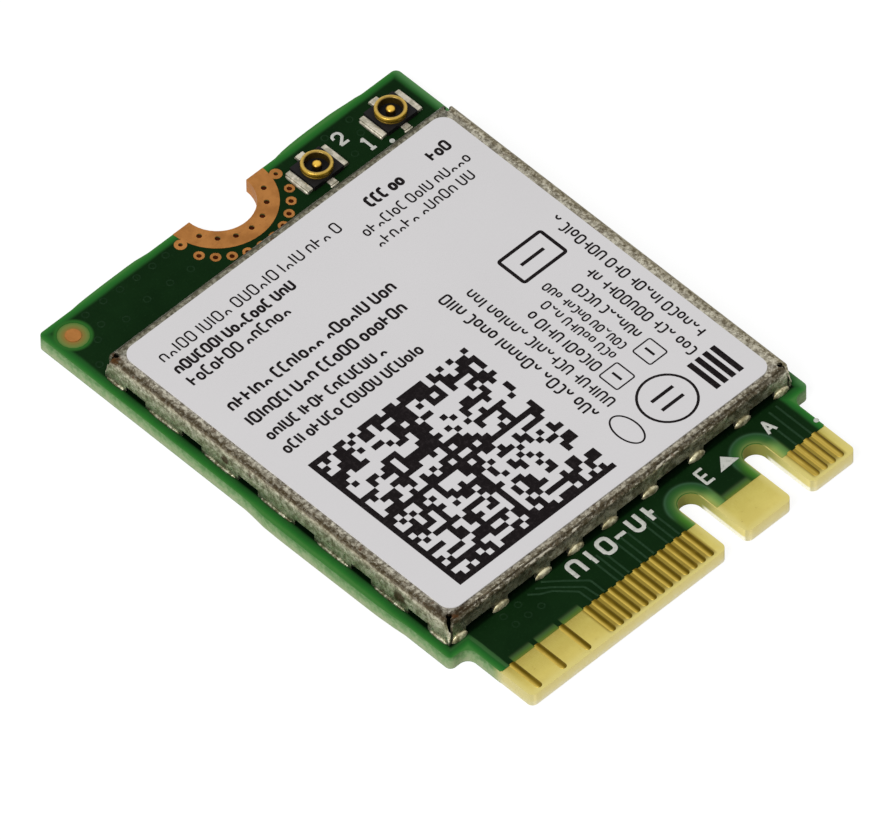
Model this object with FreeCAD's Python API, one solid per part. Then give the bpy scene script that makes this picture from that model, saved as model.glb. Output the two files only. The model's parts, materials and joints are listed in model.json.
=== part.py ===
import FreeCAD, Part
import math
import os

# Wireless network card for a keyed edge socket, 22 x 30 mm, in millimetres.
# Frame: X across the card, +Y from the contact edge to the mounting notch, +Z up.
# The origin is under the middle of the card, at the plane of the lower contacts.

# Board
board_width = 22.0
board_length = 30.0
board_thickness = 0.80
board_corner_radius = 0.30
copper_thickness = 0.035
mask_thickness = 0.025

# Tongue that enters the socket
tongue_width = 19.85
tongue_length = 4.0
tongue_root_radius = 0.50
tongue_corner_radius = 0.30

# Key slots: each takes the place of the contacts from its first to its last number
key_numbers = ((8, 15), (24, 31))
key_slot_width = 1.20
key_slot_depth = 3.50
key_mouth_radius = 0.35
key_bare_band = 0.05

# Edge contacts: numbered across both sides, odd above and even below
contact_pitch = 0.50
contact_width = 0.35
contact_tip_gap = 0.15
contact_side_gap = 0.10
contact_tip_cut = 0.10
middle_number = 38
upper_numbers = (1, 3, 5, 7, *range(33, 59, 2), 63, 69, 75)
lower_numbers = (2, 4, 6, 16, 18, 50, 52, 54, 56, 72, 74)
mask_setback = 2.0
key_mask_setback = 2.25

# Mounting notch and the plated land round it
notch_radius = 1.75
notch_land_width = 1.0
land_hole_count = 7
land_hole_step = 22.0
land_hole_radius = 0.14
land_hole_setback = 0.42
lobe_radius = 0.30
lobe_reach = 0.25
lobe_angle = 13.0

# Arc of ground vias outside the land
via_count = 10
via_step = 13.0
via_land_gap = 0.25
via_pad_radius = 0.25
via_hole_radius = 0.11

# Sides of the small drilled holes and of the small round pads, to keep the model light
drill_sides = 8
pad_sides = 16

# Fiducial mark by the corner
fiducial_radius = 0.375
fiducial_clear_radius = 0.75
fiducial_inset = 1.11

# Antenna receptacles
port_ring_radius = 0.75
port_ring_wall = 0.14
port_ring_height = 0.60
port_lip_cut = 0.04
port_snap_groove = 0.03
port_groove_height = 0.08
port_base_height = 0.28
port_base_side = 0.15
port_base_end = 0.05
port_web = 0.12
port_island_height = 0.20
port_pin_radius = 0.225
port_pin_height = 0.50
port_pin_cut = 0.08
port_bridge_height = 0.10
port_bridge_width = 0.60
port_leg_gap = 0.03
port_leg_width = 0.30
port_leg_length = 1.50
port_tab_width = 0.48
port_tab_reach = 0.36
port_tail_width = 0.50
port_tail_reach = 0.33
port_tail_thickness = 0.06
port_back_setback = 1.82
port_side_setback = 2.10
port_land_gap = 0.37
port_solder_reach = 0.09
port_solder_height = 0.14

# Parts under the shield can
chip_size = 7.0
chip_height = 0.85
chip_index_cut = 0.60
module_size = 2.50
module_height = 0.65
module_spacing = 4.0
diplexer_length = 1.60
diplexer_width = 0.80
diplexer_height = 0.60
crystal_length = 2.00
crystal_width = 1.60
crystal_height = 0.40
crystal_lid_inset = 0.12
crystal_lid_height = 0.12
inductor_length = 2.00
inductor_width = 1.60
inductor_height = 1.00
inductor_edge_cut = 0.20
inductor_spacing = 3.0
capacitor_length = 1.00
capacitor_width = 0.50
capacitor_height = 0.50
capacitor_count = 6
resistor_length = 0.60
resistor_width = 0.30
resistor_height = 0.25
resistor_count = 8
chip_part_pitch = 1.05
part_gap = 0.70

# Shield can: one folded sheet
sheet_thickness = 0.15
bend_radius = 0.12
can_head_room = 0.25
can_side_margin = 0.50
can_front_gap = 0.60
can_via_gap = 0.30
corner_slit = 0.10
corner_relief = 0.36
corner_relief_radius = 0.15
corner_relief_drop = 1.05
side_slot_length = 1.25
side_slot_height = 0.38
side_slot_pitch = 3.55
end_gap_height = 0.46
end_foot_width = 0.85
corner_foot_width = 0.80
# Places of the inner feet, as shares of half the end wall, from -X to +X
end_foot_places = (-0.716, -0.463, -0.270, -0.066, 0.174, 0.453, 0.729)
end_solder_reach = 0.16
end_solder_height = 0.42
side_solder_reach = 0.10
side_solder_height = 0.30

# How far a solder fillet's face is drawn in towards its corner, 0.5 being flat
solder_hollow = 0.36

# Label
label_thickness = 0.06
label_corner_radius = 0.66
label_left_inset = 0.53
label_right_inset = 0.68
label_front_inset = 0.44
label_back_inset = 0.44

# Derived places
half_width = board_width / 2
half_tongue = tongue_width / 2
front_y = -board_length / 2
back_y = board_length / 2
shoulder_y = front_y + tongue_length
core_bottom = copper_thickness
core_top = board_thickness - copper_thickness
mask_top = core_top + mask_thickness
mask_bottom = core_bottom - mask_thickness
land_radius = notch_radius + notch_land_width
via_ring_radius = land_radius + via_land_gap + via_pad_radius
lobe_ring_radius = land_radius + lobe_reach
through = board_thickness * 3

can_half_width = half_width - can_side_margin
can_front = shoulder_y + can_front_gap
can_back = back_y - via_ring_radius - via_pad_radius - can_via_gap
can_middle = (can_front + can_back) / 2
can_top = mask_top + inductor_height + can_head_room + sheet_thickness
outer_bend = bend_radius + sheet_thickness

port_half_span = port_ring_radius + port_base_side + port_leg_gap + port_leg_width
port_y = back_y - port_back_setback
main_port_x = land_radius + port_land_gap + port_half_span
aux_port_x = half_width - port_side_setback


# Shape helpers

def vec(x, y, z=0.0):
    return FreeCAD.Vector(x, y, z)


def block(x_span, y_span, z_span):
    """Box between three (low, high) spans."""
    size = [high - low for low, high in (x_span, y_span, z_span)]
    return Part.makeBox(*size, vec(x_span[0], y_span[0], z_span[0]))


def block_at(x, y, size_x, size_y, z, height):
    """Box centred on (x, y) that stands on z."""
    return block((x - size_x / 2, x + size_x / 2), (y - size_y / 2, y + size_y / 2), (z, z + height))


def post(x, y, radius, z, height):
    return Part.makeCylinder(radius, height, vec(x, y, z))


def prism(points, z, height):
    """Upright solid over a closed outline of (x, y) points."""
    outline = [vec(x, y, z) for x, y in points]
    return Part.Face(Part.makePolygon([*outline, outline[0]])).extrude(vec(0, 0, height))


def sided_post(x, y, radius, z, height, sides):
    """Post with flat sides, for what is too small to need a true circle."""
    angles = [2 * math.pi * (i + 0.5) / sides for i in range(sides)]
    return prism([(x + radius * math.cos(a), y + radius * math.sin(a)) for a in angles], z, height)


def drill(x, y, radius, z, height):
    return sided_post(x, y, radius, z, height, drill_sides)


def small_pad(x, y, radius, z, height):
    return sided_post(x, y, radius, z, height, pad_sides)


def turned(profile):
    """Solid of revolution about Z from (radius, z) points."""
    outline = [vec(radius, 0, z) for radius, z in profile]
    return Part.Face(Part.makePolygon([*outline, outline[0]])).revolve(vec(0, 0), vec(0, 0, 1), 360)


def join(shapes):
    """One solid from shapes that meet."""
    return shapes[0].multiFuse(shapes[1:]).removeSplitter()


def rounded_plate(corners, z, height):
    """Plate whose outline runs through (x, y, radius) corners, each rounded by a tangent arc."""
    stops = []
    for i, (x, y, radius) in enumerate(corners):
        here = vec(x, y, z)
        before = (vec(*corners[i - 1][:2], z) - here).normalize()
        after = (vec(*corners[(i + 1) % len(corners)][:2], z) - here).normalize()
        half_turn = before.getAngle(after) / 2
        setback = radius / math.tan(half_turn)
        inward = (before + after).normalize() * (radius / math.sin(half_turn) - radius)
        stops.append((here + before * setback, here + inward, here + after * setback))
    edges = []
    for i, (start, middle, end) in enumerate(stops):
        following = stops[(i + 1) % len(stops)][0]
        edges.append(Part.Arc(start, middle, end).toShape())
        if not end.isEqual(following, Part.Precision.confusion()):
            edges.append(Part.LineSegment(end, following).toShape())
    return Part.Face(Part.Wire(edges)).extrude(vec(0, 0, height))


def key_centres():
    """X of each key slot, from -X to +X."""
    return [number_x((first + last) / 2) for first, last in reversed(key_numbers)]


def number_x(number):
    """X of a contact number: the count runs from +X to -X."""
    return (middle_number - number) * contact_pitch / 2


def arc_places(radius, count, step):
    """Places on a circle round the notch, spread evenly about -Y."""
    angles = [math.radians(-90 + step * (i - (count - 1) / 2)) for i in range(count)]
    return [(radius * math.cos(a), back_y + radius * math.sin(a)) for a in angles]


def lobe_places():
    x = lobe_ring_radius * math.cos(math.radians(lobe_angle))
    y = back_y - lobe_ring_radius * math.sin(math.radians(lobe_angle))
    return [(-x, y), (x, y)]


def land_holes():
    return arc_places(notch_radius + land_hole_setback, land_hole_count, land_hole_step)


def via_places():
    return arc_places(via_ring_radius, via_count, via_step)


# Board, mask and copper

def board_plate(z, height):
    """Full outline of the board without the notch: tongue, key slots and shoulders."""
    half_slot = key_slot_width / 2
    corners = [(-half_tongue, front_y, tongue_corner_radius)]
    for x in key_centres():
        corners += [
            (x - half_slot, front_y, key_mouth_radius),
            (x - half_slot, front_y + key_slot_depth, half_slot),
            (x + half_slot, front_y + key_slot_depth, half_slot),
            (x + half_slot, front_y, key_mouth_radius),
        ]
    corners += [
        (half_tongue, front_y, tongue_corner_radius),
        (half_tongue, shoulder_y, tongue_root_radius),
        (half_width, shoulder_y, board_corner_radius),
        (half_width, back_y, board_corner_radius),
        (-half_width, back_y, board_corner_radius),
        (-half_width, shoulder_y, board_corner_radius),
        (-half_tongue, shoulder_y, tongue_root_radius),
    ]
    return rounded_plate(corners, z, height)


def circuit_board():
    drills = [post(0, back_y, notch_radius + copper_thickness, 0, through), *land_drills()]
    drills += [drill(x, y, via_hole_radius + copper_thickness, 0, through) for x, y in via_places()]
    return board_plate(core_bottom, core_top - core_bottom).cut(drills)


def land_drills():
    """Holes through the land and the board under it."""
    drills = [drill(x, y, land_hole_radius, 0, through) for x, y in land_holes()]
    return drills + [drill(x, y, via_hole_radius, 0, through) for x, y in lobe_places()]


def land_plate(z, height):
    """Half disc of the land with its two lobes, still without notch or holes."""
    disc = post(0, back_y, land_radius, z, height)
    lobes = [small_pad(x, y, lobe_radius, z, height) for x, y in lobe_places()]
    behind = block((-board_width, board_width), (back_y, back_y + board_length), (z, z + height))
    return join([disc, *lobes]).cut(behind)


def mounting_pad():
    """Land above and below, joined through the notch by the plated wall."""
    wall = post(0, back_y, notch_radius + copper_thickness, core_bottom, core_top - core_bottom)
    behind = block((-board_width, board_width), (back_y, back_y + board_length), (0, through))
    pad = join([land_plate(0, core_bottom), wall.cut(behind), land_plate(core_top, copper_thickness)])
    return pad.cut([post(0, back_y, notch_radius, 0, through), *land_drills()])


def ground_via(x, y):
    """Plated hole with a flange flush with the upper mask; the lower mask covers its other end."""
    barrel = drill(x, y, via_hole_radius + copper_thickness, core_bottom, core_top - core_bottom)
    flange = drill(x, y, via_pad_radius, core_top, mask_thickness)
    return join([barrel, flange]).cut(drill(x, y, via_hole_radius, 0, through))


def solder_mask(z, openings):
    """Mask layer: it stops short of the contacts and leaves bare laminate round the key slots."""
    mask = board_plate(z, mask_thickness)
    bare = [block((-board_width, board_width), (front_y, front_y + mask_setback), (0, through))]
    slot_radius = key_slot_width / 2 + key_bare_band
    slot_end = front_y + key_slot_depth - key_slot_width / 2
    left_key, right_key = key_centres()
    for x in (left_key, right_key):
        bare.append(block((x - slot_radius, x + slot_radius), (front_y, slot_end), (0, through)))
        bare.append(post(x, slot_end, slot_radius, 0, through))
    bare.append(block((left_key, right_key), (front_y, front_y + key_mask_setback), (0, through)))
    bare.append(land_plate(0, through))
    return mask.cut(bare + openings)


def upper_openings():
    """Openings of the upper mask alone: the ground vias and the fiducial mark."""
    vias = [drill(x, y, via_pad_radius, 0, through) for x, y in via_places()]
    return [*vias, small_pad(*fiducial_place(), fiducial_clear_radius, 0, through)]


def fiducial_place():
    return -half_width + fiducial_inset, back_y - fiducial_inset


def edge_contacts(numbers, z):
    """Contacts with a narrowed tip at the board's edge, as many as the tongue has room for."""
    tip = front_y + contact_tip_gap
    end = front_y + mask_setback
    reach = half_tongue - contact_side_gap - contact_width / 2
    contacts = []
    for x in map(number_x, numbers):
        if abs(x) > reach:
            continue
        left = x - contact_width / 2
        right = x + contact_width / 2
        outline = [
            (left, end),
            (left, tip + contact_tip_cut),
            (left + contact_tip_cut, tip),
            (right - contact_tip_cut, tip),
            (right, tip + contact_tip_cut),
            (right, end),
        ]
        contacts.append(prism(outline, z, copper_thickness))
    return contacts


# Antenna receptacles, each drawn about its own middle and standing on z = 0

def port_shell():
    """Turned ring with a bevelled lip over a snap groove, on two side legs and a back tab."""
    inner = port_ring_radius - port_ring_wall
    half_groove = port_groove_height / 2
    groove_middle = port_base_height + half_groove
    neck = port_ring_radius - port_snap_groove
    ring = turned([
        (inner, port_web),
        (port_ring_radius, port_web),
        (port_ring_radius, groove_middle - half_groove),
        (neck, groove_middle),
        (port_ring_radius, groove_middle + half_groove),
        (port_ring_radius, port_ring_height - port_lip_cut),
        (port_ring_radius - port_lip_cut, port_ring_height),
        (inner, port_ring_height),
    ])

    root = port_ring_radius - port_ring_wall / 2
    leg_start = port_half_span - port_leg_width
    bridge_top = port_web + port_bridge_height
    bridge = (port_web, bridge_top)
    half_bridge = port_bridge_width / 2
    half_leg = port_leg_length / 2
    half_tab = port_tab_width / 2
    tab_start = port_ring_radius + port_base_end + port_leg_gap
    tab_end = port_ring_radius + port_base_end + port_tab_reach
    legs = [
        block((root, port_half_span), (-half_bridge, half_bridge), bridge),
        block((leg_start, port_half_span), (-half_leg, half_leg), (0, bridge_top)),
        block((-port_half_span, -root), (-half_bridge, half_bridge), bridge),
        block((-port_half_span, -leg_start), (-half_leg, half_leg), (0, bridge_top)),
        block((-half_tab, half_tab), (root, tab_end), bridge),
        block((-half_tab, half_tab), (tab_start, tab_end), (0, bridge_top)),
    ]
    return join([ring, *legs])


def port_tail_end():
    return -(port_ring_radius + port_base_end + port_tail_reach)


def port_pin():
    """Bevelled centre pin with a flat tail that comes out under the base towards the can."""
    pin = turned([
        (0, 0),
        (port_pin_radius, 0),
        (port_pin_radius, port_pin_height - port_pin_cut),
        (port_pin_radius - port_pin_cut, port_pin_height),
        (0, port_pin_height),
    ])
    half_tail = port_tail_width / 2
    tail = block((-half_tail, half_tail), (port_tail_end(), 0), (0, port_tail_thickness))
    return join([pin, tail])


def port_base(shell, pin):
    """Insulator that holds the shell and the pin, with a sunk island inside the ring."""
    size_x = 2 * (port_ring_radius + port_base_side)
    size_y = 2 * (port_ring_radius + port_base_end)
    base = block_at(0, 0, size_x, size_y, 0, port_base_height)
    well = post(0, 0, port_ring_radius - port_ring_wall, port_island_height, port_ring_height)
    return base.cut([well, shell, pin])


def solder_fillet(start, run, out, height):
    """Concave fillet of solder along run, against a wall at start, spreading by out."""
    up = vec(0, 0, height)
    hollow = start + (out + up) * solder_hollow
    return Part.Face(Part.makePolygon([start, start + out, hollow, start + up, start])).extrude(run)


def port_solder():
    """Solder at the outer side of each leg, at the back tab and at the tail of the pin."""
    tab_end = port_ring_radius + port_base_end + port_tab_reach
    tail_height = min(port_tail_thickness, port_solder_height)
    leg_run = vec(0, port_leg_length)
    leg_front = -port_leg_length / 2
    fillets = []
    for side in (-1, 1):
        foot = vec(side * port_half_span, leg_front)
        fillets.append(solder_fillet(foot, leg_run, vec(side * port_solder_reach, 0), port_solder_height))
    tab_foot = vec(-port_tab_width / 2, tab_end)
    tab_run = vec(port_tab_width, 0)
    fillets.append(solder_fillet(tab_foot, tab_run, vec(0, port_solder_reach), port_solder_height))
    tail_foot = vec(-port_tail_width / 2, port_tail_end())
    tail_run = vec(port_tail_width, 0)
    fillets.append(solder_fillet(tail_foot, tail_run, vec(0, -port_solder_reach), tail_height))
    return fillets


def moved(shape, x, y, z):
    copy = shape.copy()
    copy.translate(vec(x, y, z))
    return copy


# Shield can

def rounded_box(half_x, y_span, z_span, radius):
    """Box whose four top edges are bends of the given radius."""
    box = block((-half_x, half_x), y_span, z_span)
    top = [e for e in box.Edges if abs(e.BoundBox.ZMin - z_span[1]) < Part.Precision.confusion() * 2]
    return box.makeFillet(radius, top)


def end_wall_reach():
    """Half length of the end walls, which stop at a slit beside the side walls."""
    return can_half_width - sheet_thickness - corner_slit


def end_feet():
    """(low, high) X span of each foot of an end wall, from -X to +X."""
    reach = end_wall_reach()
    half_foot = end_foot_width / 2
    inner = [(share * reach - half_foot, share * reach + half_foot) for share in end_foot_places]
    return [(-reach, -reach + corner_foot_width), *inner, (reach - corner_foot_width, reach)]


def side_slots():
    """(low, high) Y span of each slot of a side wall, from -Y to +Y."""
    count = int((can_back - can_front - side_slot_length) / side_slot_pitch) + 1
    middles = [can_middle + side_slot_pitch * (i - (count - 1) / 2) for i in range(count)]
    return [(y - side_slot_length / 2, y + side_slot_length / 2) for y in middles]


def corner_opening(x, y):
    """Flared cut at a corner of the can: as narrow as the slit at its foot, widening past the lid."""
    foot_half = corner_slit / 2
    flare = corner_relief - foot_half
    squares = []
    for z, half in (
        (can_top - corner_relief_drop, foot_half),
        (can_top + corner_relief_drop, foot_half + 2 * flare),
    ):
        outline = [vec(x + a * half, y + b * half, z) for a, b in ((-1, -1), (1, -1), (1, 1), (-1, 1))]
        squares.append(Part.makePolygon([*outline, outline[0]]))
    return Part.makeLoft(squares, True, True)


def shield_can():
    inner_half = can_half_width - sheet_thickness
    inner_span = (can_front + sheet_thickness, can_back - sheet_thickness)
    can = rounded_box(can_half_width, (can_front, can_back), (mask_top, can_top), outer_bend)
    can = can.cut(rounded_box(inner_half, inner_span, (mask_top, can_top - sheet_thickness), bend_radius))

    end_walls = [(can_front, inner_span[0]), (inner_span[1], can_back)]
    side_walls = [(-can_half_width, -inner_half), (inner_half, can_half_width)]
    cuts = []
    for wall in end_walls:
        for left, right in zip(end_feet(), end_feet()[1:]):
            cuts.append(block((left[1], right[0]), wall, (mask_top, mask_top + end_gap_height)))
        for low, high in ((-inner_half, -end_wall_reach()), (end_wall_reach(), inner_half)):
            cuts.append(block((low, high), wall, (mask_top, can_top - outer_bend)))
    for wall in side_walls:
        cuts += [block(wall, slot, (mask_top, mask_top + side_slot_height)) for slot in side_slots()]
    for x in (-can_half_width, can_half_width):
        for y in (can_front, can_back):
            cuts.append(corner_opening(x, y))
            inner_x = math.copysign(abs(x) - corner_relief, x)
            inner_y = y + math.copysign(corner_relief, can_middle - y)
            cuts.append(drill(inner_x, inner_y, corner_relief_radius, can_top - outer_bend, through))
    return can.cut(cuts)


def shield_solder():
    """Solder along the outside of every foot of the can."""
    fillets = []
    for y, outward in ((can_front, -1), (can_back, 1)):
        for low, high in end_feet():
            start = vec(low, y, mask_top)
            out = vec(0, outward * end_solder_reach)
            fillets.append(solder_fillet(start, vec(high - low, 0), out, end_solder_height))
    ends = [can_front, *[y for slot in side_slots() for y in slot], can_back]
    for side in (-1, 1):
        for low, high in zip(ends[::2], ends[1::2]):
            start = vec(side * can_half_width, low, mask_top)
            out = vec(side * side_solder_reach, 0)
            fillets.append(solder_fillet(start, vec(0, high - low), out, side_solder_height))
    return fillets


def label():
    left = -can_half_width + label_left_inset
    right = can_half_width - label_right_inset
    front = can_front + label_front_inset
    back = can_back - label_back_inset
    corners = [(x, y, label_corner_radius) for x, y in (
        (left, front), (right, front), (right, back), (left, back),
    )]
    return rounded_plate(corners, can_top, label_thickness)


# Parts under the can, set out round the radio chip

def radio_chip():
    """Moulded chip with one corner cut to mark its first contact."""
    half = chip_size / 2
    outline = [
        (-half, can_middle - half),
        (half, can_middle - half),
        (half, can_middle + half),
        (-half + chip_index_cut, can_middle + half),
        (-half, can_middle + half - chip_index_cut),
    ]
    return prism(outline, mask_top, chip_height)


def module_places():
    """Middles of the two front end modules, side by side behind the chip."""
    reach = module_spacing / 2
    y = can_middle + chip_size / 2 + part_gap + module_size / 2
    return [(-reach, y), (reach, y)]


def front_end_module(place):
    return block_at(*place, module_size, module_size, mask_top, module_height)


def diplexers():
    """One beside the outer side of each front end module."""
    step = (module_size + diplexer_width) / 2 + part_gap
    (left, y), (right, _) = module_places()
    places = (left - step, right + step)
    return [block_at(x, y, diplexer_width, diplexer_length, mask_top, diplexer_height) for x in places]


def chip_front():
    """Y of the line where the parts in front of the chip begin."""
    return can_middle - chip_size / 2 - part_gap


def reference_crystal():
    """Ceramic tray with a smaller metal lid, in front of the chip's -X corner."""
    x = -chip_size / 2 + crystal_length / 2
    y = chip_front() - crystal_width / 2
    lid_x = crystal_length - 2 * crystal_lid_inset
    lid_y = crystal_width - 2 * crystal_lid_inset
    tray = block_at(x, y, crystal_length, crystal_width, mask_top, crystal_height)
    lid = block_at(x, y, lid_x, lid_y, mask_top + crystal_height, crystal_lid_height)
    return join([tray, lid])


def power_inductors():
    """Two inductors with cut upright edges, from the can's middle line to +X in front of the chip."""
    y = chip_front() - inductor_width / 2
    inductors = []
    for x in (0, inductor_spacing):
        body = block_at(x, y, inductor_length, inductor_width, mask_top, inductor_height)
        upright = [e for e in body.Edges if e.BoundBox.ZLength > inductor_height / 2]
        inductors.append(body.makeChamfer(inductor_edge_cut, upright))
    return inductors


def chip_row(x, count, length, width, height):
    """Row of like parts beside the chip, evenly spaced along Y."""
    middles = [can_middle + chip_part_pitch * (i - (count - 1) / 2) for i in range(count)]
    return [block_at(x, y, length, width, mask_top, height) for y in middles]


def capacitors():
    x = -(chip_size / 2 + part_gap + capacitor_length / 2)
    return chip_row(x, capacitor_count, capacitor_length, capacitor_width, capacitor_height)


def resistors():
    x = chip_size / 2 + part_gap + resistor_length / 2
    return chip_row(x, resistor_count, resistor_length, resistor_width, resistor_height)


# Write one file for each sub-part

def save(name, solids):
    shape = solids[0] if len(solids) == 1 else Part.makeCompound(solids)
    shape.exportStep(f"parts/{name}.step")


def main():
    os.makedirs("parts", exist_ok=True)
    save("circuit_board", [circuit_board()])
    save("solder_mask_top", [solder_mask(core_top, upper_openings())])
    save("solder_mask_bottom", [solder_mask(mask_bottom, [])])
    save("mounting_pad", [mounting_pad()])
    save("ground_vias", [ground_via(x, y) for x, y in via_places()])
    save("fiducial_mark", [small_pad(*fiducial_place(), fiducial_radius, core_top, copper_thickness)])
    save("edge_contacts_top", edge_contacts(upper_numbers, core_top))
    save("edge_contacts_bottom", edge_contacts(lower_numbers, 0))

    shell = port_shell()
    pin = port_pin()
    base = port_base(shell, pin)
    ports = (("main_port", main_port_x), ("aux_port", aux_port_x))
    for name, x in ports:
        save(f"{name}_base", [moved(base, x, port_y, mask_top)])
        save(f"{name}_shell", [moved(shell, x, port_y, mask_top)])
        save(f"{name}_pin", [moved(pin, x, port_y, mask_top)])
    save("port_solder", [moved(s, x, port_y, mask_top) for _, x in ports for s in port_solder()])

    save("shield_can", [shield_can()])
    save("shield_solder", shield_solder())
    save("label", [label()])

    main_place, aux_place = module_places()
    save("radio_chip", [radio_chip()])
    save("main_front_end", [front_end_module(main_place)])
    save("aux_front_end", [front_end_module(aux_place)])
    save("diplexers", diplexers())
    save("reference_crystal", [reference_crystal()])
    save("power_inductors", power_inductors())
    save("capacitors", capacitors())
    save("resistors", resistors())


main()
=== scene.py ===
import bmesh
import bpy
import json
import math
import random
from mathutils import Matrix, Vector, noise


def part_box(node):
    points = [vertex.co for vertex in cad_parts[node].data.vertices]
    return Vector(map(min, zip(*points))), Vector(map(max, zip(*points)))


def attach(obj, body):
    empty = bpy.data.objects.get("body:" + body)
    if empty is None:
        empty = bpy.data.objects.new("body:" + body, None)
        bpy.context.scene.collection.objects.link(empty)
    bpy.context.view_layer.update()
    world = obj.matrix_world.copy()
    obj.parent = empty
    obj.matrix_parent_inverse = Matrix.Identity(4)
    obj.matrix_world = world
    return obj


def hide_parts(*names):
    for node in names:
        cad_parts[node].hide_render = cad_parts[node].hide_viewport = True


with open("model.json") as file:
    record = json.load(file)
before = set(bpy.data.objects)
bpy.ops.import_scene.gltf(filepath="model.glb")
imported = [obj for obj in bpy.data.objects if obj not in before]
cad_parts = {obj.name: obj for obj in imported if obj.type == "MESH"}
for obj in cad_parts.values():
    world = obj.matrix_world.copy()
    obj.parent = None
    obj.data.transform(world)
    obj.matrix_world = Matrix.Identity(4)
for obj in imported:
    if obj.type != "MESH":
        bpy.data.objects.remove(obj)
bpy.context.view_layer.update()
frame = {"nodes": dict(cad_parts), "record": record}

MM = 0.001
SEED = 7

# Camera of the photograph, in metres in the card's own frame
IMAGE_WIDTH = 881
FOCAL_PIXELS = 24000
SENSOR_WIDTH = 36
CLIP = (0.01, 10.0)
CAMERA_PLACE = (-0.4670995, -0.4908142, 0.8071570)
CAMERA_RIGHT = (0.71601449, -0.69800084, -0.01086588)
CAMERA_AHEAD = (0.44229285, 0.46563989, -0.76652236)


def in_mm(corners):
    return [corner / MM for corner in corners]


# Heights and edges of the card, in millimetres, from the frame
board_low, board_high = in_mm(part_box("circuit_board"))
mask_low, mask_high = in_mm(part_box("solder_mask_top"))
under_mask, _ = in_mm(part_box("solder_mask_bottom"))
can_low, can_high = in_mm(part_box("shield_can"))
_, label_high = in_mm(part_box("label"))
fiducial_low, fiducial_high = in_mm(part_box("fiducial_mark"))

# Outline of the board that the finishes follow, in millimetres
HALF_TONGUE = 9.925
SHOULDER_Y = -11.0
KEY_PLACES = (2.625, 6.625)
KEY_RADIUS = 0.60
KEY_END_Y = -12.10
# Spans in x to the right of each key slot
RIGHT_OF_KEYS = ((KEY_PLACES[0], 4.4), (KEY_PLACES[1], board_high.x))
CONTACT_ROWS = ((-4.93, 1.43), (7.57, 9.43))
# Stretches of the mask's front edge with no contact or trace, where its lip shows brighter
LIP_SPANS = ((-9.08, -7.92), (-7.58, -6.42), (-6.08, -4.95), (3.70, 5.60))
# Rust stains on the can's -X wall: place in y and z, and radius
RUST_STAINS = ((-7.32, 1.44, 0.46), (3.60, 1.50, 0.30), (10.85, 2.19, 0.42))
# Where the can's back rim darkens, in y, and how far grime spreads from its front left corner
BACK_RIM = (10.3, 10.7)
CORNER_GRIME = (1.0, 2.2)


def mount(name):
    return next(m for m in frame["record"]["mounts"] if m["name"] == name)


port_centres = {side: Vector(mount(f"{side}_antenna_port")["pos_m"]) / MM for side in ("main", "aux")}


# Shader maths

def colour(red, green, blue):
    """Linear colour of an sRGB one in 0 to 255."""
    def linear(level):
        level /= 255
        return level / 12.92 if level <= 0.04045 else ((level + 0.055) / 1.055) ** 2.4
    return (linear(red), linear(green), linear(blue), 1.0)


def maths(operation, swapped=False):
    """Operator of Wire: a maths node of the wire and the other value, if there is one."""
    def method(self, *other):
        terms = (*other, self) if swapped else (self, *other)
        return self.owner.add("Math", {"operation": operation}, dict(enumerate(terms)))
    return method


class Wire:
    """Output of a node; a shader value takes part in Python arithmetic."""

    __add__ = __radd__ = maths("ADD")
    __sub__, __rsub__ = maths("SUBTRACT"), maths("SUBTRACT", swapped=True)
    __mul__, __pow__, __abs__ = maths("MULTIPLY"), maths("POWER"), maths("ABSOLUTE")
    at_least, at_most = maths("MAXIMUM"), maths("MINIMUM")

    def __init__(self, owner, socket):
        self.owner = owner
        self.socket = socket

    def rise(self, low, high):
        """0 below low, 1 above high, and smooth between them."""
        settings = {"Value": self, "From Min": low, "From Max": high}
        return self.owner.add("MapRange", {"interpolation_type": "SMOOTHSTEP"}, settings)

    def spread(self):
        """Noise, which keeps close to 0.5, spread over 0 to 1."""
        return self.rise(0.38, 0.62)


class Tree:
    """Node tree put together from wires."""

    prefix = "ShaderNode"

    def __init__(self, tree):
        self.tree = tree

    def add(self, kind, settings=None, sockets=None, out=0):
        """Any node: its settings first, then the values or links of its sockets."""
        node = self.tree.nodes.new(self.prefix + kind)
        for name, value in (settings or {}).items():
            setattr(node, name, value)
        for key, value in (sockets or {}).items():
            self.feed(node.inputs[key], value)
        return Wire(self, node.outputs[out])

    def feed(self, socket, value):
        if isinstance(value, Wire):
            self.tree.links.new(value.socket, socket)
        else:
            socket.default_value = value

    def end(self, kind, socket, wire):
        """Last node of the tree, which takes the wire."""
        self.feed(self.tree.nodes.new(kind).inputs[socket], wire)


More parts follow.
